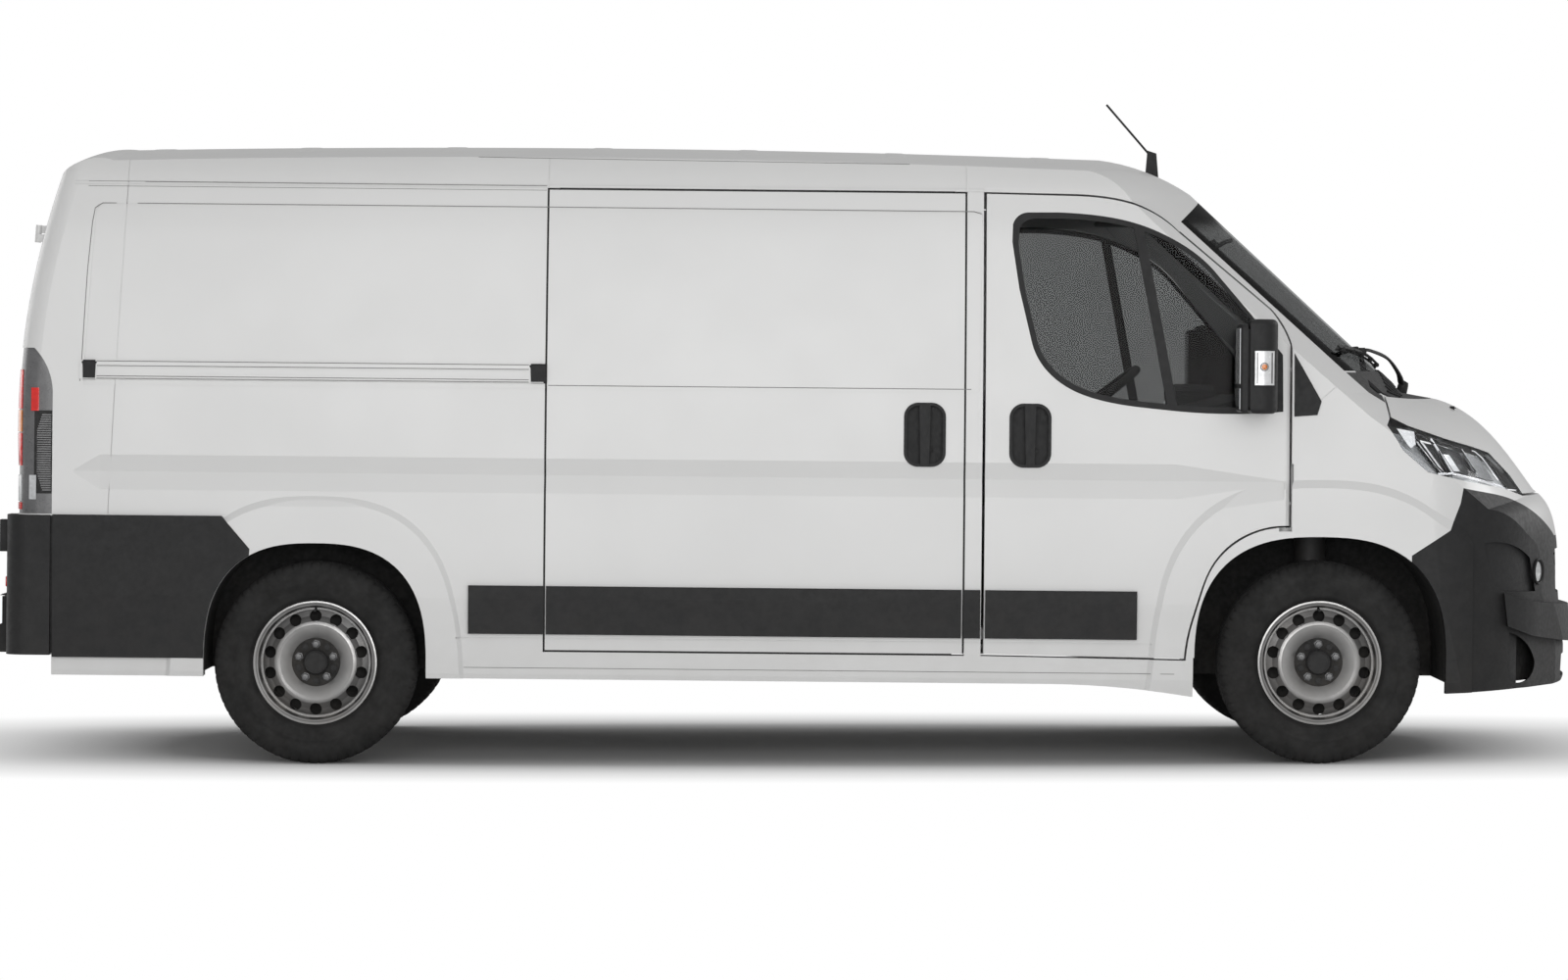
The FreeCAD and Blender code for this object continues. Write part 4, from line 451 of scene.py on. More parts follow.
def drop(tree, point, toward):
    """Where a ray meets the tree, and the outward normal there."""
    hit, normal, _, _ = tree.ray_cast(Vector(point), Vector(toward).normalized())
    if hit is None:
        return None, None
    if normal.dot(Vector(toward)) > 0:
        normal = -normal
    return hit, normal


def lay(tree, points, toward, lift=0.0):
    """A line of points dropped on a surface, each lifted off it, with the normals."""
    places, normals = [], []
    for point in points:
        hit, normal = drop(tree, point, toward)
        if hit is not None:
            places.append(hit + normal * lift)
            normals.append(normal)
    return places, normals


def strip(tree, points, toward, lift, width, thick, **section):
    """A bar laid along a line of points on a surface."""
    places, normals = lay(tree, points, toward, lift)
    return bar(places, width, thick, normals, **section)


def spaced(start, end, parts):
    """Points spread evenly from start to end."""
    return [Vector(start).lerp(Vector(end), k / parts) for k in range(parts + 1)]


def loop_points(corners, parts):
    """Points spread evenly along each side of a closed outline."""
    line = []
    for start, end in zip(corners, corners[1:] + corners[:1]):
        line += spaced(start, end, parts)[:-1]
    return line


def fill_rows(bm, rows):
    """Faces between rows of points, left out where a point is missing."""
    for first, second in zip(rows, rows[1:]):
        for k in range(len(first) - 1):
            corners = (first[k], first[k + 1], second[k + 1], second[k])
            if None not in corners:
                bm.faces.new(corners)


def pressing(tree, corner, across, along_edge, toward, depth, edge, round_off=0.05, cells=(36, 24)):
    """A rounded rectangle raised from a surface by depth, with sloping edges.

    It starts at corner, spans the two edge vectors, and is dropped along toward.
    """
    sunk = 0.0005
    bm = bmesh.new()
    rows = []
    wide, tall = Vector(across).length, Vector(along_edge).length
    for i in range(cells[0] + 1):
        row = []
        for j in range(cells[1] + 1):
            u, v = i / cells[0], j / cells[1]
            start = Vector(corner) + Vector(across) * u + Vector(along_edge) * v
            hit, normal = drop(tree, start, toward)
            if hit is None:
                row.append(None)
                continue
            dx = max(round_off - u * wide, round_off - (1 - u) * wide, 0.0)
            dy = max(round_off - v * tall, round_off - (1 - v) * tall, 0.0)
            if dx > 0 and dy > 0:
                inside = round_off - math.hypot(dx, dy)
            else:
                inside = min(u * wide, (1 - u) * wide, v * tall, (1 - v) * tall)
            level = min(max(inside / edge, 0.0), 1.0)
            level = level * level * (3 - 2 * level)
            height = (depth + sunk) * level - sunk if inside > 0 else -0.003
            row.append(bm.verts.new(hit + normal * height))
        rows.append(row)
    fill_rows(bm, list(zip(*rows)))
    return bm


def skin_of(name, facing, low=(-FAR, -FAR, -FAR), high=(FAR, FAR, FAR)):
    """The faces of a CAD node that facing picks, cut to a box in the body's frame."""
    bm = bmesh.new()
    bm.from_mesh(NODES[name].data)
    bmesh.ops.transform(bm, matrix=UNBODY, verts=bm.verts)
    bmesh.ops.remove_doubles(bm, verts=bm.verts, dist=1e-5)
    bmesh.ops.recalc_face_normals(bm, faces=bm.faces)
    bm.normal_update()
    bmesh.ops.delete(bm, geom=[f for f in bm.faces if not facing(f.calc_center_median(), f.normal)],
                     context="FACES")
    for axis in range(3):
        normal = Vector([1.0 if i == axis else 0.0 for i in range(3)])
        for limit, inner, outer in ((low[axis], True, False), (high[axis], False, True)):
            bmesh.ops.bisect_plane(bm, geom=bm.verts[:] + bm.edges[:] + bm.faces[:], plane_co=normal * limit,
                                   plane_no=normal, clear_inner=inner, clear_outer=outer)
    bm.normal_update()
    return bm


def shift(bm, distance):
    """Moves a skin along its own normals."""
    bm.normal_update()
    for vert, move in [(v, v.normal * distance) for v in bm.verts]:
        vert.co += move
    return bm


def thicken(bm, depth):
    """Gives an open skin a thickness, towards its back."""
    bmesh.ops.solidify(bm, geom=bm.faces[:], thickness=depth)
    bmesh.ops.recalc_face_normals(bm, faces=bm.faces)
    return bm


def flipped(bm):
    """A mirror image across the van's middle plane."""
    copy = bm.copy()
    for vert in copy.verts:
        vert.co.y = -vert.co.y
    bmesh.ops.reverse_faces(copy, faces=copy.faces)
    return copy


def both(shapes):
    return shapes + [flipped(s) for s in shapes]


def piece(name, shapes, material, rides="body", place=BODY, crease=35):
    """Joins shapes into one object with its material, riding on a body of the frame."""
    whole = bmesh.new()
    for shape in shapes:
        part = bpy.data.meshes.new("part")
        shape.to_mesh(part)
        shape.free()
        whole.from_mesh(part)
        bpy.data.meshes.remove(part)
    bmesh.ops.transform(whole, matrix=place, verts=whole.verts)
    data = bpy.data.meshes.new(name)
    whole.to_mesh(data)
    whole.free()
    for face in data.polygons:
        face.use_smooth = True
    data.set_sharp_from_angle(angle=math.radians(crease))
    data.materials.append(MATERIALS[material])
    made = bpy.data.objects.new(name, data)
    bpy.context.scene.collection.objects.link(made)
    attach(made, rides)
    return made


# Tyres: a turned section with shoulder blocks, grooves round the tread and cuts across it.

TREAD_HALF = 0.079
PITCHES = 64
STEPS = 5
SIDEWALL = (
    (0.078, 0.197), (0.0815, 0.206), (0.0835, 0.216), (0.0905, 0.2205), (0.0965, 0.224), (0.1005, 0.2265),
    (0.1035, 0.2355), (0.1075, 0.25), (0.1108, 0.264), (0.1122, 0.27), (0.1114, 0.2712), (0.1116, 0.283),
    (0.1098, 0.295), (0.1098, 0.2965), (0.1075, 0.306), (0.1045, 0.315),
)
SHOULDER = ((0.1005, 0.324), (0.0955, 0.3325), (0.0885, 0.34), (TREAD_HALF, 0.3455), (0.0665, 0.347))


def tyre_profile():
    """(across, radius, kind) round the section, kind 1 on the tread ribs and 2 on the shoulder blocks."""
    points = [(a, r, 0) for a, r in SIDEWALL] + [(a, r, 2) for a, r in SHOULDER]
    for centre in (0.06, 0.0205):
        points += [(centre + 0.0048, 0.3478, 1), (centre + 0.0032, 0.34, 0), (centre - 0.0032, 0.34, 0),
                   (centre - 0.0048, 0.3479, 1), (centre - 0.018, TYRE_RADIUS - 0.0001, 1)]
    points[-1] = (0.004, TYRE_RADIUS, 1)
    return points + [(-a, r, k) for a, r, k in reversed(points)]


# How deep the cuts across the tread are, by the kind of point.
CUTS = (0.0, 0.0016, 0.0055)


def tyre_shape(centre):
    profile = tyre_profile()
    bm = bmesh.new()
    rings = []
    count = PITCHES * STEPS
    for step in range(count):
        ring = []
        for across, radius, kind in profile:
            slant = 0.35 * abs(across) / TREAD_HALF * STEPS * (1 if across > 0 else -1)
            angle = 2 * math.pi * (step + slant) / count
            r = radius - (CUTS[kind] if step % STEPS == 0 else 0.0)
            around = X * (r * math.sin(angle)) + Z * (r * math.cos(angle))
            ring.append(bm.verts.new(centre + around + Y * across))
        rings.append(ring)
    for first, second in zip(rings, rings[1:] + rings[:1]):
        for i in range(len(profile)):
            j = (i + 1) % len(profile)
            bm.faces.new((first[i], first[j], second[j], second[i]))
    bmesh.ops.recalc_face_normals(bm, faces=bm.faces)
    return bm


# Turned profiles of what sits in a wheel, as distance out from its middle plane and radius.
BOLT_CIRCLE = 0.062
RIB_CIRCLE = 0.064
BOLTS = 5
HUB_DISH = ((0.04, 0.0845), (0.0472, 0.0835), (0.048, 0.08), (0.048, 0.044), (0.047, 0.04))
HUB_CAP = ((0.046, 0.0435), (0.058, 0.043), (0.0632, 0.0405), (0.066, 0.0375), (0.0655, 0.0345),
           (0.064, 0.0335), (0.064, 0.0))
BOLT = ((0.0475, 0.015), (0.05, 0.015), (0.0505, 0.0128), (0.06, 0.0122), (0.0625, 0.01), (0.0635, 0.0))
RIB = ((0.0475, 0.011), (0.051, 0.0105), (0.0517, 0.0))
BRAKE_SHIELD = ((-0.002, 0.072), (-0.002, 0.176), (0.004, 0.181), (0.006, 0.176), (0.001, 0.17),
                (0.001, 0.072))
BRAKE_DISC = ((0.009, 0.066), (0.009, 0.14), (0.019, 0.14), (0.019, 0.066))
VALVE = ((0.0, 0.0), (0.0, 0.0048), (0.012, 0.0042), (0.03, 0.004), (0.032, 0.0046), (0.042, 0.0046),
         (0.043, 0.0))


def dress_wheel(corner):
    """A treaded tyre, the dark hub with its five bolts and a blank cap, and the brake behind."""
    low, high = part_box("tyre_" + corner)
    centre = (low + high) / 2
    out = Y if centre.y > 0 else -Y
    rides = "wheel_" + corner
    holder = corner.replace("front", "knuckle") if corner.startswith("front") else "body"

    def on_circle(radius, angle):
        return centre + X * (radius * math.sin(angle)) + Z * (radius * math.cos(angle))

    tyre = piece("tread_" + corner, [tyre_shape(centre)], "tyre", rides, Matrix(), crease=50)
    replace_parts(tyre, "tyre_" + corner)
    bolts, cap = [], [turned(HUB_CAP, centre, out)]
    for i in range(BOLTS):
        angle = 2 * math.pi * i / BOLTS
        bolts.append(turned(BOLT, on_circle(BOLT_CIRCLE, angle), out, 6))
        cap.append(turned(RIB, on_circle(RIB_CIRCLE, angle + math.pi / BOLTS), out, 16))
    valve = centre + Z * 0.1845 + out * 0.05
    for name, shapes, material, carrier in (
            ("hub_", [turned(HUB_DISH, centre, out)], "liner_black", rides),
            ("hub_cap_", cap, "dark_plastic", rides),
            ("wheel_bolts_", bolts, "lamp_grey", rides),
            ("brake_shield_", [turned(BRAKE_SHIELD, centre, out)], "liner_black", holder),
            ("brake_disc_", [turned(BRAKE_DISC, centre, out)], "steel", rides),
            ("valve_", [turned(VALVE, valve, out + Z * -0.12, 12)], "rubber", rides)):
        piece(name + corner, shapes, material, carrier, Matrix())


for corner in ("front_left", "front_right", "rear_left", "rear_right"):
    dress_wheel(corner)

# Lamps. Each lens is the skin of its CAD solid, with the inner parts set behind it.


def lamp_front(centre, normal):
    """The headlamp's outside: faces that look forward, outward or up, and not the cut edges."""
    side = normal.y * (1 if centre.y > 0 else -1)
    return normal.x * 0.6 + side * 0.7 + normal.z * 0.3 > 0.45 and side > -0.2


LAMP_TREE = tree_of("headlamps")


def lamp_point(x, z, depth):
    """A point of the right headlamp seen from the side, sunk behind its lens."""
    hit, normal = drop(LAMP_TREE, (x, -BESIDE, z), Y)
    return None if hit is None else hit - normal * depth


def lamp_edge(points, depth, width, thick, closed=False):
    """A bar along a line drawn on the right headlamp in side view, sunk behind the lens."""
    points = [(FRONT + x, z) for x, z in points]
    if closed:
        points.append(points[0])
    parts = 5
    line = []
    for (x0, z0), (x1, z1) in zip(points, points[1:]):
        line += [lamp_point(x0 + (x1 - x0) * k / parts, z0 + (z1 - z0) * k / parts, depth)
                 for k in range(parts)]
    if not closed:
        line.append(lamp_point(*points[-1], depth))
    return bar([place for place in line if place is not None], width, thick, -Y, closed=closed)


def lamp_panel(corners, depth, hollow=0.0, cells=8):
    """A four-cornered panel sunk behind the lens; hollow bows its middle back."""
    bm = bmesh.new()
    a, b, c, d = [Vector(corner) for corner in corners]
    rows = []
    for row in range(cells + 1):
        v = row / cells
        line = []
        for column in range(cells + 1):
            u = column / cells
            x, z = a.lerp(b, u).lerp(d.lerp(c, u), v)
            place = lamp_point(FRONT + x, z, depth + hollow * 16 * u * (1 - u) * v * (1 - v))
            line.append(None if place is None else bm.verts.new(place))
        rows.append(line)
    fill_rows(bm, rows)
    bmesh.ops.recalc_face_normals(bm, faces=bm.faces)
    return thicken(bm, 0.0015)


# Outlines on the right headlamp in side view, as places ahead of the front axle and heights.
INDICATOR = ((0.331, 1.16), (0.401, 1.148), (0.457, 1.018), (0.424, 1.019))
MAIN_BEAM = ((0.407, 1.14), (0.518, 1.105), (0.561, 1.027), (0.466, 1.03))
SIDE_BEAM = ((0.524, 1.103), (0.589, 1.084), (0.643, 0.997), (0.568, 1.014))

BRIGHT_PANELS = (
    (((0.252, 1.198), (0.333, 1.178), (0.329, 1.121), (0.306, 1.107)), 0.005, 0.0),
    (((0.339, 1.134), (0.362, 1.134), (0.434, 1.024), (0.424, 1.019)), 0.012, 0.006),
    (((0.436, 1.091), (0.463, 1.089), (0.498, 1.03), (0.466, 1.032)), 0.012, 0.008),
)
BRIGHT_EDGES = (
    (((0.404, 1.145), (0.515, 1.111), (0.589, 1.09), (0.654, 0.995)), 0.007, 0.005, 0.004),
    (((0.4, 1.016), (0.46, 1.022), (0.575, 0.996), (0.676, 0.966)), 0.007, 0.009, 0.004),
    (((0.47, 1.018), (0.56, 1.0), (0.668, 0.972)), 0.005, 0.003, 0.003),
    (((0.398, 1.142), (0.462, 1.026)), 0.01, 0.009, 0.006),
    (((0.521, 1.106), (0.565, 1.02)), 0.01, 0.004, 0.004),
)
BROW = ((0.345, 1.178), (0.441, 1.158), (0.515, 1.137), (0.577, 1.112), (0.626, 1.053), (0.68, 0.968))


def headlamp():
    """Clear lens over a grey housing with two dark chambers, a fluted one, pale bowls and bright edges."""
    lens = thicken(skin_of("headlamps", lamp_front), 0.003)
    housing = thicken(shift(skin_of("headlamps", lamp_front), -0.03), 0.002)
    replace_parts(piece("headlamp_lenses", [lens], "lamp_clear"), "headlamps")
    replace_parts(piece("headlamp_housings", [housing], "headlamp_shell"), "headlamps")
    chambers = [lamp_panel(INDICATOR, 0.022), lamp_panel(MAIN_BEAM, 0.024)]
    piece("headlamp_chambers", both(chambers), "dark_plastic")
    piece("headlamp_side_beams", both([lamp_panel(SIDE_BEAM, 0.016, 0.006)]), "headlamp_fluted")
    piece("headlamp_bowls", both([lamp_panel(*panel) for panel in BRIGHT_PANELS]), "headlamp_bowl")
    piece("headlamp_bright_edges", both([lamp_edge(*edge) for edge in BRIGHT_EDGES]), "chrome")
    dark = [lamp_edge(BROW, 0.005, 0.009, 0.006), lamp_edge(INDICATOR, 0.01, 0.006, 0.008, closed=True),
            lamp_edge(MAIN_BEAM, 0.01, 0.004, 0.008, closed=True)]
    piece("headlamp_frames", both(dark), "dark_plastic")


headlamp()

# Where the tail lamps' flank starts, and where the lenses on the tail end.
SIDE_START = TAIL + 0.052
REAR_LENS = TAIL + 0.016
TAIL_RIBS = 34


def tail_outside(centre, normal):
    """The tail lamp's outside: faces that look outward or back."""
    side = normal.y * (1 if centre.y > 0 else -1)
    return side > 0.3 or normal.x < -0.3


def tail_band(low_z, high_z, low_x=-FAR, high_x=FAR, lift=0.0, thick=0.004):
    """A band of both tail lamps' outer skin, cut between two heights and two places along the van."""
    skin = skin_of("tail_lamps", tail_outside, (low_x, -FAR, low_z), (high_x, FAR, high_z))
    return thicken(shift(skin, lift), thick)


def tail_lamp():
    """Grey housing round the corner, with coloured lenses on the tail and ribs on the flank."""
    housing = piece("tail_lamp_housings", [tail_band(-FAR, FAR, lift=-0.004, thick=0.012)], "lamp_grey")
    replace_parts(housing, "tail_lamps")
    zones = {"lamp_red": ((1.195, 1.33), (1.0, 1.112), (0.85, 0.874)),
             "lamp_amber": ((1.116, 1.191), ),
             "lamp_pale": ((0.878, 0.968), )}
    for material, bands in zones.items():
        shapes = [tail_band(low_z, high_z, high_x=REAR_LENS, thick=0.005) for low_z, high_z in bands]
        if material == "lamp_red":
            shapes.append(tail_band(1.189, 1.268, SIDE_START, SIDE_START + 0.027, 0.0005, 0.005))
        piece("tail_" + material, shapes, material)
    piece("tail_brackets", [tail_band(0.885, 0.968, SIDE_START - 0.004, SIDE_START + 0.02, 0.001)],
          "lamp_pale")
    piece("tail_rib_beds", [tail_band(0.905, 1.19, SIDE_START + 0.012, TAIL + 0.1255, -0.002)], "rubber")
    ribs = []
    for i in range(TAIL_RIBS):
        low_z = 0.915 + 0.266 * i / TAIL_RIBS
        start = SIDE_START + 0.022 + max(0.0, 0.012 - 0.0016 * min(i, TAIL_RIBS - i)) * 1.6
        ribs.append(tail_band(low_z, low_z + 0.0042, start, TAIL + 0.122, 0.001))
    piece("tail_ribs", ribs, "lamp_grey")


tail_lamp()

# Wipers: a cast arm from a capped pivot, a spring-loaded reach and a framed blade on the glass.

SCREEN_TREE = tree_of("windscreen")
SCUTTLE_TREE = tree_of("scuttle")


def screen_line(points, lift):
    """Points (y, z) of the front view dropped back on the windscreen."""
    return lay(SCREEN_TREE, [(3.2, y, z) for y, z in points], -X, lift)


def wiper(name, pivot_y, pivot_x, tip, root):
    middle_yz = ((root[0] + tip[0]) / 2, (root[1] + tip[1]) / 2 + 0.012)
    line = [(p.y, p.z) for p in smooth_path([(0, *root), (0, *middle_yz), (0, *tip)], 10)]
    rubber, normals = screen_line(line, 0.005)
    shapes = [bar(rubber, 0.006, 0.009, normals)]
    spine, normals = screen_line(line, 0.017)
    shapes.append(bar(spine, 0.016, 0.011, normals, taper=lambda t: 0.75 + 0.9 * t * (1 - t)))
    for claw in spine[2:-2:4]:
        shapes.append(boss(claw, (0.009, 0.01, 0.013), (0.009, 0.01, 0.003), 0.003))
    middle = spine[len(spine) // 2]
    lift = normals[len(normals) // 2]
    pivot, _ = drop(SCUTTLE_TREE, (pivot_x, pivot_y, ABOVE), -Z)
    head = pivot + Z * 0.034
    reach = middle - head
    arm = smooth_path([head, head + reach * 0.18 + lift * 0.022, head + reach * 0.55 + lift * 0.04,
                       middle + lift * 0.026 - reach.normalized() * 0.05, middle + lift * 0.014], 7)
    shapes.append(bar(arm, 0.026, 0.012, lift, taper=lambda t: 1.25 - 0.75 * t))
    cap = ((-0.012, 0.0), (-0.012, 0.021), (0.03, 0.019), (0.041, 0.016), (0.046, 0.0))
    shapes.append(turned(cap, pivot, Z + X * 0.25, 24))
    shapes.append(boss(middle, (0.014, 0.018, 0.006), (0.014, 0.018, 0.018), 0.005))
    piece(name, shapes, "rubber")


wiper("wiper_right", -0.02, FRONT + 0.385, (-0.66, 1.44), (-0.08, 1.378))
wiper("wiper_left", 0.47, FRONT + 0.3, (-0.02, 1.44), (0.56, 1.4))

# The scuttle's air grille, as slats between the wipers, and the washer jets on the bonnet.


def scuttle_slats():
    slats = []
    for side in (-1, 1):
        for i in range(9):
            y = side * (0.13 + 0.055 * i)
            line = spaced((FRONT + 0.27, y, ABOVE), (FRONT + 0.33, y, ABOVE), 5)
            slats.append(strip(SCUTTLE_TREE, line, -Z, 0.003, 0.012, 0.006))
    piece("scuttle_slats", slats, "dark_plastic")


def washer_jets():
    tree = tree_of("bonnet")
    places = [drop(tree, (FRONT + 0.53, y, ABOVE), -Z)[0] for y in (-0.34, 0.34)]
    jets = [boss(place, (0.013, 0.011, 0.004), (0.013, 0.011, 0.009), 0.005) for place in places]
    piece("washer_jets", jets, "rubber", "bonnet")


scuttle_slats()
washer_jets()

# The nose: round fog lamps, fine mesh behind the grille's bars, and dark walls in the corner openings.
NOSE_TREE = tree_of("front_bumper")
FOG_RING = ((-0.012, 0.04), (0.006, 0.046), (0.01, 0.043), (0.006, 0.038), (-0.01, 0.036))
FOG_GLASS = ((-0.006, 0.0375), (0.003, 0.034), (0.006, 0.018), (0.007, 0.0))


def fog_lamps():
    hits = [drop(NOSE_TREE, (FRONT + 1.6, side * 0.715, 0.675), -X) for side in (-1, 1)]
    piece("fog_lamp_rings", [turned(FOG_RING, *hit, 36) for hit in hits], "dark_plastic")
    piece("fog_lamps", [turned(FOG_GLASS, *hit, 36) for hit in hits], "lamp_pale")


def grille_mesh():
    """Crossed wires behind the upper and the lower opening, bowed as the bumper is."""
    pitch, wire = 0.0125, 0.0035
    face, bow = FRONT + 0.9, 0.3
    shapes = []
    for low, high, wide in ((0.592, 0.743, 0.43), (0.298, 0.37, 0.4)):
        for i in range(int((high - low) / pitch)):
            across = [wide * (k / 8.0 - 1) for k in range(17)]
            line = [(face - bow * y * y, y, low + pitch * i + 0.006) for y in across]
            shapes.append(bar(line, wire, wire, Z, sides=4))
        for i in range(-33, 34):
            y = wide * i / 33.0
            x = face - bow * y * y
            shapes.append(bar([(x, y, low), (x, y, high)], wire, wire, X, sides=4))
    piece("grille_mesh", shapes, "liner_black")


def duct_liners():
    shapes = []
    low, high = 0.298, 0.484
    for side in (1, -1):
        line = spaced((FRONT + 0.64, side * BESIDE, 0.486), (FRONT + 0.88, side * BESIDE, 0.486), 16)
        places, _ = lay(NOSE_TREE, line, -Y * side, -0.062)
        bm = bmesh.new()
        fill_rows(bm, [[bm.verts.new((place.x, place.y, z)) for place in places] for z in (low, high)])
        shapes.append(thicken(bm, 0.003))
    piece("bumper_duct_liners", shapes, "liner_black")


fog_lamps()
grille_mesh()
duct_liners()

# Mirrors: glass and a small wide-angle glass behind, and a turn lamp on the outer side.
TURN_LAMP = ((1.468, 1.312), (1.468, 1.436), (1.54, 1.436), (1.54, 1.312))
TURN_BULB = ((-0.001, 0.01), (0.0012, 0.0095), (0.0018, 0.006), (0.002, 0.0))
TURN_RING = ((-0.001, 0.015), (0.0018, 0.0145), (0.0018, 0.011))


def mirror(side_name, side):
    rides = "cab_door_" + side_name
    trim = "door_trim_" + side_name
    tree = tree_of(trim)
    y0, y1 = HALF + 0.058, HALF + 0.228
    x = FRONT - 0.302
    glasses = [box((x - 0.0025, y0, low), (x + 0.001, y1, high), 0.002)
               for low, high in ((1.318, 1.51), (1.232, 1.306))]
    piece("mirror_glass_" + side_name, glasses if side > 0 else [flipped(g) for g in glasses],
          "mirror_silver", rides)
    skin = skin_of(trim, lambda c, n: n.y * side > 0.2 and c.y * side > 1.19, (1.47, -FAR, 1.316),
                   (1.542, FAR, 1.432))
    piece("turn_lamp_" + side_name, [thicken(shift(skin, 0.0006), 0.003)], "headlamp_bowl", rides)
    lines = []
    for px, width in ((1.479, 0.003), (1.529, 0.0055)):
        line = spaced((px, side * BESIDE, 1.322), (px, side * BESIDE, 1.426), 8)
        lines.append(strip(tree, line, -Y * side, 0.0008, width, 0.002))
    piece("turn_lamp_lines_" + side_name, lines, "lamp_grey", rides)
    outline = loop_points([Vector((px, side * BESIDE, pz)) for px, pz in TURN_LAMP], 6)
    edge = strip(tree, outline, -Y * side, 0.0, 0.006, 0.004, closed=True)
    piece("turn_lamp_frame_" + side_name, [edge], "dark_plastic", rides)
    centre, normal = drop(tree, (1.503, side * BESIDE, 1.378), -Y * side)
    piece("turn_lamp_bulb_" + side_name, [turned(TURN_BULB, centre, normal, 20)], "lamp_amber", rides)
    piece("turn_lamp_ring_" + side_name, [turned(TURN_RING, centre, normal, 20)], "trim_grey", rides)


mirror("left", 1)
mirror("right", -1)

# The sliding door's rail: black end caps, and thin raised bars along the edges of its rolled section, their
# dark grey a painted shade of its edges and folds.


def rail():
    low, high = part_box("slide_track")
    tree = tree_of("slide_track")
    start, end = low.x - MID_X, high.x - MID_X
    caps = []
    for x0, x1 in ((start - 0.002, start + 0.05), (end - 0.058, end + 0.002)):
        face, _ = drop(tree, ((x0 + x1) / 2, -BESIDE, 1.334), Y)
        caps.append(box((x0, face.y - 0.004, 1.2985), (x1, face.y + 0.02, 1.3655), 0.005, 3))
    piece("slide_rail_caps", caps, "dark_plastic")
    # Painted shade: dark grey bars on the rail's edges and folds.
    fold_shade_bars = []
    for z in (1.3025, 1.3105, 1.346, 1.3615):
        line = spaced((start + 0.05, -BESIDE, z), (end - 0.06, -BESIDE, z), 24)
        fold_shade_bars.append(strip(tree, line, Y, 0.0004, 0.0028, 0.0016, sides=6))
    piece("slide_rail_fold_shades", fold_shade_bars, "trim_grey")


rail()

# The seams beside the rear bumper's corners.
seams = []
for node, side in (("body_side_left", 1), ("body_side_right", -1)):
    line = spaced((TAIL + 0.127, side * BESIDE, 0.36), (TAIL + 0.127, side * BESIDE, 0.83), 20)
    seams.append(strip(tree_of(node), line, -Y * side, 0.002, 0.012, 0.004))
piece("rear_corner_seams", seams, "rubber")

# Key barrels in the handles, and the fuel flap on the left pillar.
KEY_BARREL = ((0.0, 0.01), (0.003, 0.01), (0.0035, 0.0085), (0.002, 0.004), (0.002, 0.0))
CAB_HANDLE_X = FRONT - 0.979
for name, x, side, rides, trim in (
        ("key_barrel_right", CAB_HANDLE_X, -1, "cab_door_right", "door_trim_right"),
        ("key_barrel_left", CAB_HANDLE_X, 1, "cab_door_left", "door_trim_left"),
        ("key_barrel_slide", FRONT - 1.341, -1, "body", "sliding_door_trim")):
    hit, normal = drop(tree_of(trim), (x, side * BESIDE, 1.083), -Y * side)
    piece(name, [turned(KEY_BARREL, hit, normal, 20)], "rubber", rides)

FLAP_X, FLAP_Z, FLAP_WIDE, FLAP_TALL = FRONT - 1.42, 0.7, 0.155, 0.165
LEFT_TREE = tree_of("body_side_left")
flap = pressing(LEFT_TREE, (FLAP_X, BESIDE, FLAP_Z), (FLAP_WIDE, 0, 0), (0, 0, FLAP_TALL), -Y, 0.0022,
                0.003, 0.022)
piece("fuel_flap", [flap], "body_paint")
corners = [Vector((FLAP_X + FLAP_WIDE * u, BESIDE, FLAP_Z + FLAP_TALL * v))
           for u, v in ((0, 0), (0, 1), (1, 1), (1, 0))]
gap = strip(LEFT_TREE, loop_points(corners, 8), -Y, -0.0005, 0.004, 0.002, closed=True)
piece("fuel_flap_gap", [gap], "rubber")

# The roof's pressed cross ribs.
ROOF_TREE = tree_of("roof")
ribs = []
for i in range(7):
    start = (-2.38 + 0.52 * i, -0.68, ABOVE)
    ribs.append(pressing(ROOF_TREE, start, (0.085, 0, 0), (0, 1.36, 0), -Z, 0.0018, 0.02, 0.04, (10, 40)))
piece("roof_ribs", ribs, "body_paint")

# Fine dark lines: painted shade along the outline of the pressed upper panel, the gutter and the sill's fold,
# and a dark line on the roof joint.


def side_hit(x, z, side):
    """The outermost side surface at a place, with its outward normal."""
    best = (None, None)
    for tree in SIDE_TREES[side]:
        hit, normal = drop(tree, (x, side * BESIDE, z), -Y * side)
        if hit is not None and abs(normal.y) > 0.2 and (best[0] is None or abs(hit.y) > abs(best[0].y)):
            best = (hit, normal)
    return best


def seam_and_shade_line(points, side, width):
    """Thin dark bars along a line over the side, painted shade on creases and a dark line on joints, broken
    where it crosses an opening.
    """
    runs, places, normals = [], [], []
    for (x0, z0), (x1, z1) in zip(points, points[1:]):
        steps = max(2, int(math.hypot(x1 - x0, z1 - z0) / 0.04))
        for step in range(steps):
            t = step / (steps - 1)
            hit, normal = side_hit(x0 + (x1 - x0) * t, z0 + (z1 - z0) * t, side)
            broken = hit is None or (places and abs(hit.y - places[-1].y) > 0.012)
            if broken and len(places) > 2:
                runs.append(bar(places, width, 0.0012, normals, sides=6))
            if broken:
                places, normals = [], []
            if hit is not None and (not places or (hit - places[-1]).length > 1e-4):
                places.append(hit + normal * 0.0003)
                normals.append(normal)
    if len(places) > 2:
        runs.append(bar(places, width, 0.0012, normals, sides=6))
    return runs


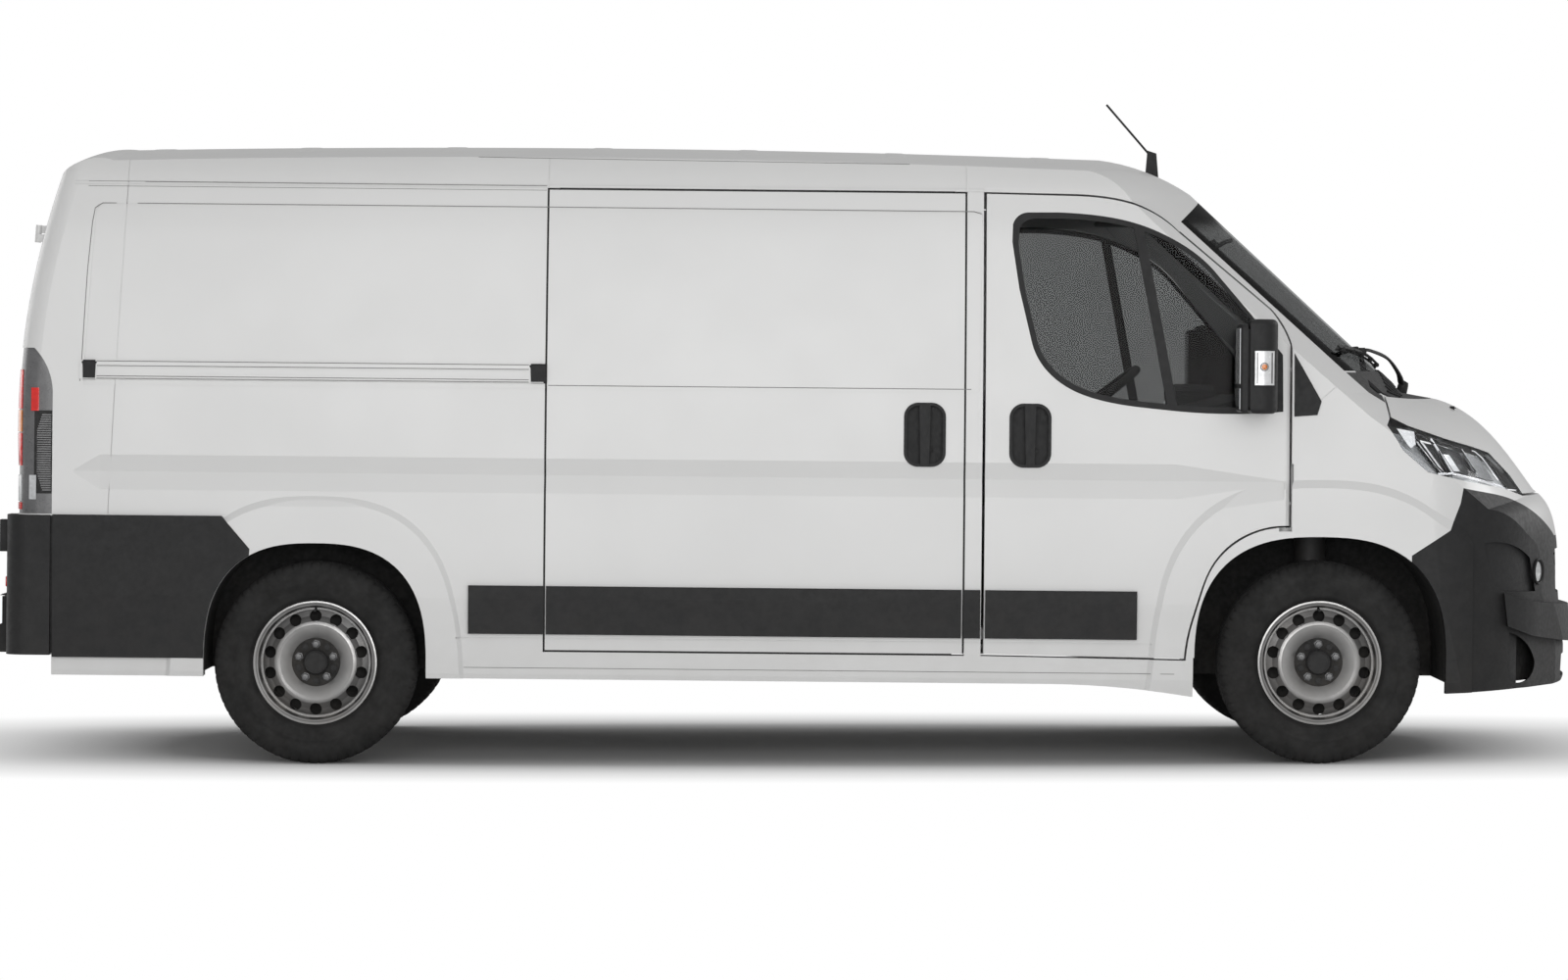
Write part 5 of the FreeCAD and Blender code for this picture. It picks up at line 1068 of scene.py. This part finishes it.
SIDE_TREES = {
    -1: [tree_of(name) for name in ("body_side_right", "sliding_door", "roof", "front_wings")],
    1: [tree_of(name) for name in ("body_side_left", "roof", "front_wings")],
}
SLIDER = skin_of("sliding_door", lambda c, n: n.y < -0.5)
SLIDER_X = (min(v.co.x for v in SLIDER.verts), max(v.co.x for v in SLIDER.verts))
SLIDER_Z = (min(v.co.z for v in SLIDER.verts), max(v.co.z for v in SLIDER.verts))
UPPER_PANEL = ((-2.539, 1.292), (-2.534, 1.355), (-2.52, 1.671), (-2.507, 1.84), (-2.499, 1.889),
               (-2.473, 1.906), (-0.932, 1.906), (0.526, 1.904), (0.552, 1.896), (0.562, 1.869),
               (0.562, 1.292), (-0.932, 1.292))
SIDE_LINES = [
    (UPPER_PANEL, 0.0028),
    (((-2.524, 1.981), (-0.945, 1.979)), 0.0028),
    (((-2.524, 1.965), (-0.945, 1.964)), 0.0018),
    (((-2.364, 2.09), (-0.932, 2.076), (0.964, 2.062)), 0.0028),
    (((REAR + 0.43, 0.3215), (FRONT - 0.5, 0.3215)), 0.0022),
    *[(((x, 0.372), (x, 0.288)), 0.0028) for x in (*SLIDER_X, 0.787)],
    *[(((x, 1.985), (x, 2.07)), 0.0028) for x in SLIDER_X],
]
# Dark grey bars: painted shade along the creases and the gutter, and dark joint lines.
fine = []
for side in (-1, 1):
    for points, width in SIDE_LINES:
        fine += seam_and_shade_line(points, side, width)
piece("side_seams_and_shade_lines", fine, "trim_grey")


def door_gap_shade():
    """Painted shade: black bars that fill the gap round the sliding door, at the depth of the door's skin
    beside it.
    """
    tree = tree_of("sliding_door")
    half_gap, inward = 0.0035, 0.012
    section = dict(width=0.0069, thick=0.003, up=-Y, sides=6)
    # The black bars are painted shade in the door's gap.
    gap_shades = []
    for edge, sign in zip(SLIDER_X, (-1, 1)):
        x = edge + sign * (half_gap - inward)
        places, _ = lay(tree, spaced((x, -BESIDE, SLIDER_Z[0]), (x, -BESIDE, SLIDER_Z[1]), 60), Y)
        gap_shades.append(bar([(edge + sign * half_gap, p.y + 0.0022, p.z) for p in places], **section))
    for edge, sign in zip(SLIDER_Z, (-1, 1)):
        z = edge + sign * (half_gap - inward)
        places, _ = lay(tree, spaced((SLIDER_X[0], -BESIDE, z), (SLIDER_X[1], -BESIDE, z), 40), Y)
        gap_shades.append(bar([(p.x, p.y + 0.0022, edge + sign * half_gap) for p in places], **section))
    piece("sliding_door_gap_shade", gap_shades, "rubber")


door_gap_shade()

# Rear doors: pressed panels, a blank plate in its frame, the handle, seals and the lamps above.


def rear_door_panels(name, upper_y, lower_y):
    rides = "rear_door_" + name
    tree = tree_of(rides)
    upper = pressing(tree, (BEHIND, upper_y, 1.27), (0, 0.64, 0), (0, 0, 0.58), X, 0.006, 0.022, 0.075)
    lower = pressing(tree, (BEHIND, lower_y, 0.62), (0, 0.685, 0), (0, 0, 0.2), X, 0.005, 0.02, 0.05)
    piece("rear_door_panels_" + name, [upper, lower], "body_paint", rides)


def plate_and_lamps():
    """The blank plate in its frame on the left door, and the bar above it with two lamps."""
    rides = "rear_door_left"
    corners = [(BEHIND, y, z) for y in (0.12, 0.64) for z in (0.955, 1.065)]
    places, normals = lay(tree_of(rides), corners, X, 0.006)
    centre = sum(places, Vector()) / 4
    normal = sum(normals, Vector()).normalized()
    bar_at = centre + Z * 0.085 + normal * 0.008
    lamps = []
    for y in (-0.1, 0.1):
        lamps.append(slab(centre + Z * 0.074 + Y * y + normal * 0.01, normal, 0.05, 0.012, 0.012, 0.003))
    piece("rear_plate", [slab(centre, normal, 0.52, 0.11, 0.004, 0.006)], "plate_white", rides)
    frame_slab = slab(centre - normal * 0.004, normal, 0.535, 0.125, 0.005, 0.008)
    piece("rear_plate_frame", [frame_slab], "dark_plastic", rides)
    piece("plate_lamp_bar", [slab(bar_at, normal, 0.36, 0.03, 0.022, 0.008)], "dark_plastic", rides)
    piece("plate_lamps", lamps, "lamp_pale", rides)


def rear_door_handle():
    rides = "rear_door_right"
    hit, normal = drop(tree_of(rides), (BEHIND, -0.115, 1.02), X)
    grip = [slab(hit + normal * 0.001, normal, 0.115, 0.16, 0.008, 0.02),
            slab(hit + normal * 0.016, normal, 0.07, 0.115, 0.01, 0.012)]
    piece("rear_handle", grip, "dark_plastic", rides)
    key = turned(((0.0, 0.01), (0.004, 0.01), (0.004, 0.0)), hit + normal * 0.005 - Z * 0.066, normal, 20)
    piece("rear_key_barrel", [key], "rubber", rides)


rear_door_panels("left", 0.105, 0.06)
rear_door_panels("right", -0.745, -0.745)
plate_and_lamps()
rear_door_handle()

# The third brake lamp on the roof's rear edge, and the rubber between the rear doors.
hit, normal = drop(ROOF_TREE, (BEHIND, 0.0, 2.045), X)
piece("brake_lamp", [slab(hit + normal * 0.003, normal, 0.3, 0.026, 0.01, 0.008)], "lamp_red")
piece("brake_lamp_frame", [slab(hit, normal, 0.325, 0.046, 0.008, 0.01)], "dark_plastic")
line = spaced((BEHIND, -0.012, 0.6), (BEHIND, -0.012, 1.93), 20)
seal = strip(tree_of("rear_door_right"), line, X, 0.001, 0.012, 0.004)
piece("rear_middle_seal", [seal], "rubber", "rear_door_right")

# The rear step: ribbed tread plate along its top, and red reflectors in the bumper's corners.
treads = [box((REAR - 1.112, -0.8, 0.5455), (REAR - 1.072, 0.8, 0.5475), 0.0008)]
for i in range(40):
    y = -0.78 + 0.04 * i
    treads.append(box((REAR - 1.108, y, 0.547), (REAR - 1.045, y + 0.016, 0.55), 0.001))
piece("rear_step_treads", treads, "rubber")
BUMPER_TREE = tree_of("rear_bumper")
reflectors = []
for side in (-1, 1):
    hit, normal = drop(BUMPER_TREE, (BEHIND, side * 0.915, 0.6), X)
    reflectors.append(slab(hit + normal * 0.002, normal, 0.085, 0.035, 0.006, 0.006))
piece("rear_reflectors", reflectors, "lamp_red")

# The cab: gauges under a hood, vents, a centre stack, the gear lever, pedals and door linings.

DASH_TREE = tree_of("dashboard")
DIAL_X = FRONT - 0.42
VENT = ((-0.01, 0.052), (0.012, 0.05), (0.013, 0.044), (0.002, 0.04), (0.0, 0.0))
VENT_RADIUS = 0.04


def dash_face(y, z):
    return drop(DASH_TREE, (BULKHEAD, y, z), X)


def dials():
    """Gauge faces, their rims and marks, and the hood over them: (dark, bright, screens)."""
    hood = [(DIAL_X, DRIVER_Y + y, z)
            for y, z in ((-0.19, 1.205), (-0.17, 1.285), (-0.09, 1.315), (0.09, 1.315), (0.17, 1.285),
                         (0.19, 1.205))]
    dark, bright, screens = [prism(hood, (0.16, 0, 0), 0.012, 3)], [], []
    for y, z, radius in ((-0.085, 1.252, 0.062), (0.085, 1.252, 0.062), (0.0, 1.238, 0.028)):
        face = Vector((DIAL_X - 0.002, DRIVER_Y + y, z))
        screens.append(turned(((0.0, radius), (0.001, 0.0)), face, -X, 36))
        rim = ((-0.001, radius), (0.005, radius), (0.006, radius - 0.004), (0.0, radius - 0.005))
        bright.append(turned(rim, face, -X, 36))
        for i in range(11):
            angle = math.radians(220 - 26 * i)
            spot = face + (Z * math.sin(angle) - Y * math.cos(angle)) * radius * 0.82 - X * 0.0025
            bright.append(boss(spot, (0.0008, 0.0016, 0.0016), (0.0008, 0.0016, 0.0016), 0))
        pin = face - X * 0.004
        bright.append(bar([pin, pin + Y * radius * 0.5 - Z * radius * 0.45], 0.003, 0.002, X, sides=6))
    return dark, bright, screens


def vents():
    """Round vents along the dashboard, with slats across each: (dark, grey)."""
    dark, grey = [], []
    for y in (-0.74, -0.1, 0.1, 0.8):
        hit, normal = dash_face(y, 1.14)
        dark.append(turned(VENT, hit, normal, 32))
        for k in range(-3, 4):
            half = math.sqrt(VENT_RADIUS ** 2 - (0.011 * k) ** 2)
            middle = hit + normal * 0.005 + Z * (0.011 * k)
            grey.append(bar([middle - Y * half, middle + Y * half], 0.01, 0.002, Z + normal * 0.4, sides=6))
    return dark, grey


def gear_lever():
    foot, _ = dash_face(0.2, 0.97)
    boot = smooth_path([foot + X * 0.01, foot + Vector((-0.06, 0, 0.03)), foot + Vector((-0.1, 0, 0.11))])
    knob = ((-0.015, 0.0), (-0.01, 0.018), (0.005, 0.025), (0.022, 0.022), (0.032, 0.0))
    return [bar(boot, 0.022, 0.022, Y, taper=lambda t: 1.6 - 0.9 * t),
            turned(knob, foot + Vector((-0.102, 0, 0.115)), Vector((-0.3, 0, 1)), 24)]


def cab_fittings():
    dark, bright, screens = dials()
    vent_rings, grey = vents()
    dark += vent_rings
    hit, normal = dash_face(0.0, 1.06)
    grey.append(slab(hit + normal * 0.004, normal, 0.26, 0.3, 0.016, 0.02))
    screens.append(slab(hit + normal * 0.013 + Z * 0.055, normal, 0.2, 0.12, 0.004, 0.006))
    for y in (-0.075, 0.0, 0.075):
        knob = hit + normal * 0.012 + Y * y - Z * 0.075
        dark.append(turned(((0.0, 0.024), (0.018, 0.021), (0.02, 0.018), (0.02, 0.0)), knob, normal, 24))
    dark += gear_lever()
    for y in (DRIVER_Y - 0.13, DRIVER_Y, DRIVER_Y + 0.12):
        pad = Vector((FRONT - 0.36, y, 0.62))
        corners = ((0, -0.032, -0.03), (0, 0.032, -0.03), (0.03, 0.032, 0.045), (0.03, -0.032, 0.045))
        arm = ((0.02, 0, 0.02), (0.075, 0, 0.13), (0.1, 0, 0.25))
        dark.append(prism([pad + Vector(c) for c in corners], (0.014, 0, -0.004), 0.004))
        grey.append(bar([pad + Vector(c) for c in arm], 0.016, 0.012, X))
    glove, normal = dash_face(-0.5, 1.02)
    grey.append(slab(glove + normal * 0.002, normal, 0.42, 0.17, 0.008, 0.02))
    dark.append(slab(glove + normal * 0.007 + Z * 0.055, normal, 0.09, 0.022, 0.006, 0.006))
    piece("dash_fittings", dark, "dash_plastic")
    piece("dash_panels", grey, "trim_grey")
    piece("dash_bright", bright, "chrome")
    piece("dash_screens", screens, "rubber")


cab_fittings()

# The steering wheel's padded centre, and stitches round its rim, riding on the wheel.
STEER = Vector((FRONT - 0.66, DRIVER_Y, 1.185))
STEER_AXIS = Vector((-0.62, 0, 0.785)).normalized()
STEER_UP = STEER_AXIS.cross(Y).normalized()
STEER_PAD = ((-0.012, 0.0), (-0.01, 0.06), (0.004, 0.074), (0.016, 0.066), (0.022, 0.04), (0.024, 0.0))


def steering_pad():
    pad = turned(STEER_PAD, STEER + STEER_AXIS * 0.04, STEER_AXIS, 40)
    stitches = []
    for i in range(72):
        angle = 2 * math.pi * i / 72
        out = Y * math.cos(angle) + STEER_UP * math.sin(angle)
        middle = STEER + STEER_AXIS * 0.07 + out * 0.1885
        ends = [middle - STEER_AXIS * 0.004, middle + STEER_AXIS * 0.004]
        stitches.append(bar(ends, 0.0014, 0.0014, out, sides=4))
    piece("steering_pad", [pad], "dash_plastic", "steering_wheel")
    piece("steering_stitch", stitches, "trim_grey", "steering_wheel")


steering_pad()

# The rear-view mirror and the sun visors.
foot, _ = drop(SCREEN_TREE, (0.9, 0.0, 1.84), X)
stalk = [foot - X * 0.001, foot + Vector((-0.03, 0, -0.01)), foot + Vector((-0.062, 0, -0.03))]
view = [box((foot.x - 0.085, -0.115, 1.775), (foot.x - 0.06, 0.115, 1.838), 0.01, 3),
        bar(stalk, 0.016, 0.014, Y)]
piece("rear_view_mirror", view, "dash_plastic")
visors = [box((FRONT - 0.7, y - 0.19, 1.9), (FRONT - 0.53, y + 0.19, 1.916), 0.007, 3) for y in (-0.42, 0.42)]
piece("sun_visors", visors, "trim_grey")

# Door linings, with an armrest, a pull and a pocket, inside each cab door.


def door_lining(name, side):
    rides = "cab_door_" + name
    tree = tree_of(rides)
    x0 = FRONT - 1.1
    card = pressing(tree, (x0, 0.0, 0.6), (0.74, 0, 0), (0, 0, 0.52), Y * side, 0.009, 0.01, 0.06, (30, 20))
    piece("door_card_" + name, [card], "trim_grey", rides)
    shapes = []
    for start, end, z, parts, lift, section in (
            (0.12, 0.6, 0.985, 8, 0.024,
             dict(width=0.06, thick=0.05, sides=14, taper=lambda t: 0.7 + 1.1 * t * (1 - t))),
            (0.5, 0.62, 1.06, 4, 0.018, dict(width=0.02, thick=0.012)),
            (0.1, 0.66, 0.7, 8, 0.022,
             dict(width=0.13, thick=0.04, sides=14, taper=lambda t: 0.8 + 0.8 * t * (1 - t)))):
        line = spaced((x0 + start, 0.0, z), (x0 + end, 0.0, z), parts)
        shapes.append(strip(tree, line, Y * side, lift, **section))
    piece("door_armrest_" + name, shapes, "dash_plastic", rides)


door_lining("left", 1)
door_lining("right", -1)

# The load space: a coated plywood floor with its screws and lashing rings, and upright ribs on the walls.
SCREW = ((0.0, 0.01), (0.002, 0.009), (0.0025, 0.0))
RING_CUP = ((0.0, 0.028), (0.002, 0.028), (0.003, 0.024), (0.0015, 0.012), (0.0015, 0.0))


def load_floor():
    top = drop(tree_of("floor"), (-1.0, 0.0, 1.5), -Z)[0].z
    boards = []
    for x0, x1 in ((TAIL + 0.12, -1.22), (-1.215, BULKHEAD - 0.06)):
        boards.append(box((x0, -0.655, top + 0.0005), (x1, 0.655, top + 0.01), 0.002))
    piece("load_boards", boards, "plywood")
    fixings = []
    for x in (-2.45, -1.9, -1.35, -1.05, -0.5, 0.1):
        fixings += [turned(SCREW, (x, y, top + 0.0095), Z, 12) for y in (-0.6, 0.0, 0.6)]
    arch = [math.pi * k / 10 for k in range(11)]
    for x in (-2.3, -0.45, 0.2):
        for y in (-0.62, 0.62):
            fixings.append(turned(RING_CUP, (x, y, top + 0.01), Z, 20))
            ring = [(x + 0.018 * math.cos(a), y, top + 0.012 + 0.016 * math.sin(a)) for a in arch]
            fixings.append(bar(ring, 0.006, 0.006, Y, sides=8))
    piece("load_fixings", fixings, "steel")


def wall_ribs(name, node, side, places, low, high):
    tree = tree_of(node)
    ribs = []
    for x in places:
        ribs.append(pressing(tree, (x, 0.0, low), (0.075, 0, 0), (0, 0, high - low), Y * side, 0.014, 0.014,
                             0.02, (8, 30)))
    piece(name, ribs, "body_paint")


load_floor()
wall_ribs("wall_ribs_left", "body_side_left", 1, (-2.35, -0.98, -0.62, -0.26, 0.1), 1.0, 1.86)
wall_ribs("wall_ribs_right", "body_side_right", -1, (-2.35, ), 1.0, 1.86)
wall_ribs("sliding_door_ribs", "sliding_door", -1, (-0.72, -0.38, -0.04, 0.25), 0.72, 1.84)
BULKHEAD_TREE = tree_of("bulkhead")
panels = []
for y in (-0.62, -0.34, 0.12, 0.4):
    panels.append(pressing(BULKHEAD_TREE, (-0.6, y, 0.72), (0, 0.22, 0), (0, 0, 1.05), X, 0.006, 0.018,
                           0.04, (14, 40)))
piece("bulkhead_panels", panels, "body_paint")

# Under the bonnet: a ribbed cover on the engine block, battery, coolant bottle, hose and radiator fins.


def under_bonnet():
    cover = [box((FRONT - 0.02, -0.24, 0.901), (FRONT + 0.38, 0.24, 0.945), 0.016, 3)]
    for k in range(6):
        y = -0.18 + 0.072 * k
        cover.append(box((FRONT + 0.02, y - 0.014, 0.943), (FRONT + 0.34, y + 0.014, 0.956), 0.006))
    filler = turned(((0.0, 0.03), (0.018, 0.028), (0.022, 0.022), (0.022, 0.0)), (FRONT + 0.3, -0.2, 0.944),
                    Z, 24)
    battery = [box((FRONT + 0.1, 0.36, 0.8), (FRONT + 0.3, 0.52, 0.99), 0.006)]
    for x in (FRONT + 0.14, FRONT + 0.26):
        battery.append(turned(((0.0, 0.012), (0.016, 0.01), (0.017, 0.0)), (x, 0.44, 0.989), Z, 16))
    lid = ((0.0, 0.03), (0.026, 0.029), (0.03, 0.024), (0.03, 0.0))
    bottle = [box((FRONT + 0.08, -0.54, 0.84), (FRONT + 0.26, -0.38, 1.0), 0.03, 4),
              turned(lid, (FRONT + 0.17, -0.46, 0.998), Z, 24)]
    hose = smooth_path([(FRONT + 0.24, -0.44, 0.93), (FRONT + 0.4, -0.4, 0.95), (FRONT + 0.5, -0.3, 0.88),
                        (FRONT + 0.545, -0.28, 0.86)])
    fins = []
    for k in range(37):
        z = 0.44 + 0.012 * k
        fins.append(box((FRONT + 0.5985, -0.4, z), (FRONT + 0.6035, 0.4, z + 0.0025), 0))
    for name, shapes, material in (
            ("engine_cover", cover, "dark_plastic"), ("oil_cap", [filler], "rubber"),
            ("battery", battery, "dash_plastic"), ("coolant_bottle", bottle, "plate_white"),
            ("top_hose", [bar(hose, 0.036, 0.036, Z, sides=14)], "rubber"), ("radiator_fins", fins, "steel")):
        piece(name, shapes, material, place=LEVEL)


under_bonnet()

# Seats: each pad starts as a crowned block inside its CAD solid and is swelled by cloth pressure.


def crowned(low, high, dish, lean, back):
    """A grid block whose sides pull in between its corners and whose face dips between two bolsters.

    A cushion's face is its top. A back's face is its front, and it leans rearward by lean over its height.
    """
    inset = 0.009
    bm = bmesh.new()
    bmesh.ops.create_cube(bm, size=2.0)
    bmesh.ops.subdivide_edges(bm, edges=bm.edges, cuts=9, use_grid_fill=True)
    middle = (high + low) / 2
    half = (high - low) / 2 - Vector((inset, inset, inset))
    for vert in bm.verts:
        p = vert.co.copy()
        q = p.copy()
        for axis in range(3):
            a, b = [p[i] for i in range(3) if i != axis]
            q[axis] = p[axis] * (1 - 0.06 * (abs(a) ** 5 + abs(b) ** 5))
        place = Vector([middle[i] + q[i] * half[i] for i in range(3)])
        hollow = dish * (1 - abs(p.y) ** 3)
        if back and p.x > 0.5:
            place.x -= hollow
        if not back and p.z > 0.5:
            place.z -= hollow
        place.x -= lean * (p.z + 1) / 2
        vert.co = place
    return bm


def settle(pad):
    """Replaces the object's mesh by the result of its modifiers."""
    graph = bpy.context.evaluated_depsgraph_get()
    data = bpy.data.meshes.new_from_object(pad.evaluated_get(graph))
    old = pad.data
    pad.modifiers.clear()
    pad.data = data
    bpy.data.meshes.remove(old)


def swell(pad, voxel, cap):
    """Remeshes the pad, lets cloth pressure round it, and holds every point within cap of its start."""
    mod = pad.modifiers.new("remesh", "REMESH")
    mod.mode = "VOXEL"
    mod.voxel_size = voxel
    settle(pad)
    start = [v.co.copy() for v in pad.data.vertices]
    cloth = pad.modifiers.new("cloth", "CLOTH")
    cloth.settings.quality = 4
    cloth.settings.use_pressure = True
    cloth.settings.uniform_pressure_force = 4.0
    cloth.settings.effector_weights.gravity = 0
    for number in range(1, 21):
        bpy.context.scene.frame_set(number)
    settle(pad)
    for vert, old in zip(pad.data.vertices, start):
        move = vert.co - old
        if move.length > cap:
            vert.co = old + move.normalized() * cap
    bpy.context.scene.frame_set(1)


def sew(pad, channels):
    """Pulls the skin in along sewn channels, each a point and a normal of a plane through the pad."""
    depth = width = 0.008
    for vert in pad.data.vertices:
        pull = max(math.exp(-(abs((vert.co - Vector(p)).dot(Vector(n))) / width) ** 2) for p, n in channels)
        if pull > 0.02:
            vert.co -= vert.normal * depth * pull


def pad_piece(name, low, high, channels, node, dish=0.012, lean=0.0, back=False, voxel=0.01, cap=0.01):
    data = bpy.data.meshes.new(name)
    shape = crowned(Vector(low), Vector(high), dish, lean, back)
    shape.to_mesh(data)
    shape.free()
    pad = bpy.data.objects.new(name, data)
    bpy.context.scene.collection.objects.link(pad)
    swell(pad, voxel, cap)
    sew(pad, channels)
    pad.data.transform(BODY)
    for face in pad.data.polygons:
        face.use_smooth = True
    smooth = pad.modifiers.new("smooth", "SUBSURF")
    smooth.levels = smooth.render_levels = 1
    pad.data.materials.clear()
    pad.data.materials.append(MATERIALS["seat_fabric"])
    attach(pad, "body")
    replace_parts(pad, node)


# Each seat's name, its two edges across the van, and the middles of its places.
SEATS = (("driver", 0.22, 0.74, (0.48, )), ("bench", -0.745, 0.13, (-0.09, -0.52)))
HEADREST_Y = (0.48, -0.09, -0.52)


def seat(name, y_low, y_high, places):
    wide = (y_high - y_low) / len(places)
    lengthwise = []
    for i in range(len(places)):
        lengthwise += [y_low + wide * (i + 0.5 + offset) for offset in (-0.28, 0.28)]
    if len(places) > 1:
        lengthwise.append((y_low + y_high) / 2)
    seams = [((0, y, 0), Y) for y in lengthwise]
    pad_piece("seat_pad_" + name, (BULKHEAD + 0.07, y_low, 0.72), (BULKHEAD + 0.58, y_high, 0.86),
              seams + [((BULKHEAD + 0.45, 0, 0), X)], "seat_cushions")
    pad_piece("back_pad_" + name, (BULKHEAD + 0.096, y_low, 0.862), (BULKHEAD + 0.212, y_high, 1.48),
              seams + [((0, 0, 1.02), Z), ((0, 0, 1.3), Z)], "seat_cushions", dish=0.014, lean=0.076,
              back=True)
    for number, y in enumerate(places):
        pad_piece("head_pad_%s_%d" % (name, number), (BULKHEAD + 0.026, y - 0.13, 1.53),
                  (BULKHEAD + 0.116, y + 0.13, 1.69), [((0, 0, 1.548), Z)], "headrests", dish=0.006,
                  back=True, voxel=0.007, cap=0.008)


def seat_hardware():
    """The posts that carry the head pads, with their collars, and the levers beside the seats."""
    post = ((0.0, 0.0), (0.0, 0.006), (0.075, 0.006), (0.075, 0.0))
    collar = ((0.0, 0.013), (0.006, 0.012), (0.007, 0.008))
    posts = []
    for y in [middle + offset for middle in HEADREST_Y for offset in (-0.06, 0.06)]:
        posts += [turned(post, (BULKHEAD + 0.074, y, 1.466), Z, 16),
                  turned(collar, (BULKHEAD + 0.074, y, 1.472), Z, 16)]
    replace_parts(piece("headrest_posts", posts, "steel"), "headrests")
    levers = []
    for y in (0.215, 0.742):
        levers.append(box((BULKHEAD + 0.2, y - 0.012, 0.66), (BULKHEAD + 0.46, y + 0.012, 0.7), 0.008))
    piece("seat_levers", levers, "dash_plastic")


for row in SEATS:
    seat(*row)
seat_hardware()

# Camera at the photograph's place, with a long lens, square on to the right side.
PHOTO_WIDTH = 1600
camera_data = bpy.data.cameras.new("camera")
camera = bpy.data.objects.new("camera", camera_data)
bpy.context.scene.collection.objects.link(camera)
camera_data.sensor_width = 36
camera_data.lens = 120.4
camera_data.shift_x = -5 / PHOTO_WIDTH
camera_data.shift_y = -119 / PHOTO_WIDTH
camera_data.clip_end = 200
camera.location = (-0.0345, -19.0, 1.342)
camera.rotation_euler = (math.radians(90), 0, 0)
bpy.context.scene.camera = camera


def seen_directly(tree):
    """1 for rays from the camera and through glass, 0 for those that light the object."""
    paths = tree.nodes.new("ShaderNodeLightPath")
    return math_node(tree, "MAXIMUM", paths.outputs["Is Camera Ray"], paths.outputs["Is Transmission Ray"])


def stage_floor():
    """Pale ground that keeps the van's cast shadow round it, painted a darker grey there as a painted shadow,
    and runs out to white further off.
    """
    mat, tree, shader = new_material("stage_floor")
    # Painted shadow: a darker grey inside the van's footprint.
    painted_shadow_grey = ramp(tree, noise(tree, 0.8), (0.55, 0.55, 0.55), (0.57, 0.57, 0.57))
    distant = ramp(tree, noise(tree, 0.8), (0.84, 0.84, 0.84), (0.86, 0.86, 0.86))
    powers = []
    for axis, half in (("X", 2.9), ("Y", 1.3)):
        reach = math_node(tree, "ABSOLUTE", math_node(tree, "DIVIDE", along(tree, axis), half))
        powers.append(math_node(tree, "POWER", reach, 3.0))
    far = math_node(tree, "POWER", math_node(tree, "ADD", *powers), 1 / 3.0)
    share = math_node(tree, "MULTIPLY", span(tree, far, 0.0, 1.0, 0.78, 1.4), seen_directly(tree))
    # The painted shadow grey inside the footprint blends to the pale grey outside it.
    feed(tree, shader.inputs["Base Color"], mix(tree, span(tree, far, 0.0, 1.0, 0.6, 1.1), painted_shadow_grey, distant))
    feed(tree, shader.inputs["Roughness"], 0.9)
    feed(tree, shader.inputs["Specular IOR Level"], 0.0)
    glow = tree.nodes.new("ShaderNodeEmission")
    blend = tree.nodes.new("ShaderNodeMixShader")
    for socket, source in zip(blend.inputs, (share, shader.outputs["BSDF"], glow.outputs["Emission"])):
        tree.links.new(source, socket)
    tree.links.new(blend.outputs["Shader"], tree.nodes["Material Output"].inputs["Surface"])
    return mat


floor_mesh = bpy.data.meshes.new("floor")
floor_mesh.from_pydata([(-60, -40, 0), (60, -40, 0), (60, 80, 0), (-60, 80, 0)], [], [(0, 1, 2, 3)])
floor_piece = bpy.data.objects.new("stage_floor", floor_mesh)
bpy.context.scene.collection.objects.link(floor_piece)
floor_mesh.materials.append(stage_floor())
floor_piece.location.z = -0.001

world = bpy.data.worlds.new("world")
bpy.context.scene.world = world
world.use_nodes = True
world_tree = world.node_tree
background = world_tree.nodes["Background"]
background.inputs["Color"].default_value = (1, 1, 1, 1)
world_tree.links.new(span(world_tree, seen_directly(world_tree), 0.46, 1.0, 0.0, 1.0),
                     background.inputs["Strength"])


def area_lamp(name, place, target, size, power):
    data = bpy.data.lights.new(name, "AREA")
    data.shape = "RECTANGLE"
    data.size = size
    data.size_y = size * 0.6
    data.energy = power
    lamp = bpy.data.objects.new(name, data)
    bpy.context.scene.collection.objects.link(lamp)
    lamp.location = place
    lamp.rotation_euler = (Vector(target) - Vector(place)).to_track_quat("-Z", "Y").to_euler()


area_lamp("key", (0.5, -12.0, 2.4), (0, 0, 0.9), 10.0, 620)
area_lamp("top", (0.5, 0.5, 8.5), (0, 0, 1.0), 8.0, 50)
area_lamp("tail", (-11.0, 5.0, 3.4), (-1.0, 0, 1.0), 9.0, 240)
area_lamp("fill", (11.0, 5.0, 4.5), (1.0, 0, 1.0), 6.0, 300)

bpy.context.scene.view_settings.view_transform = "Standard"
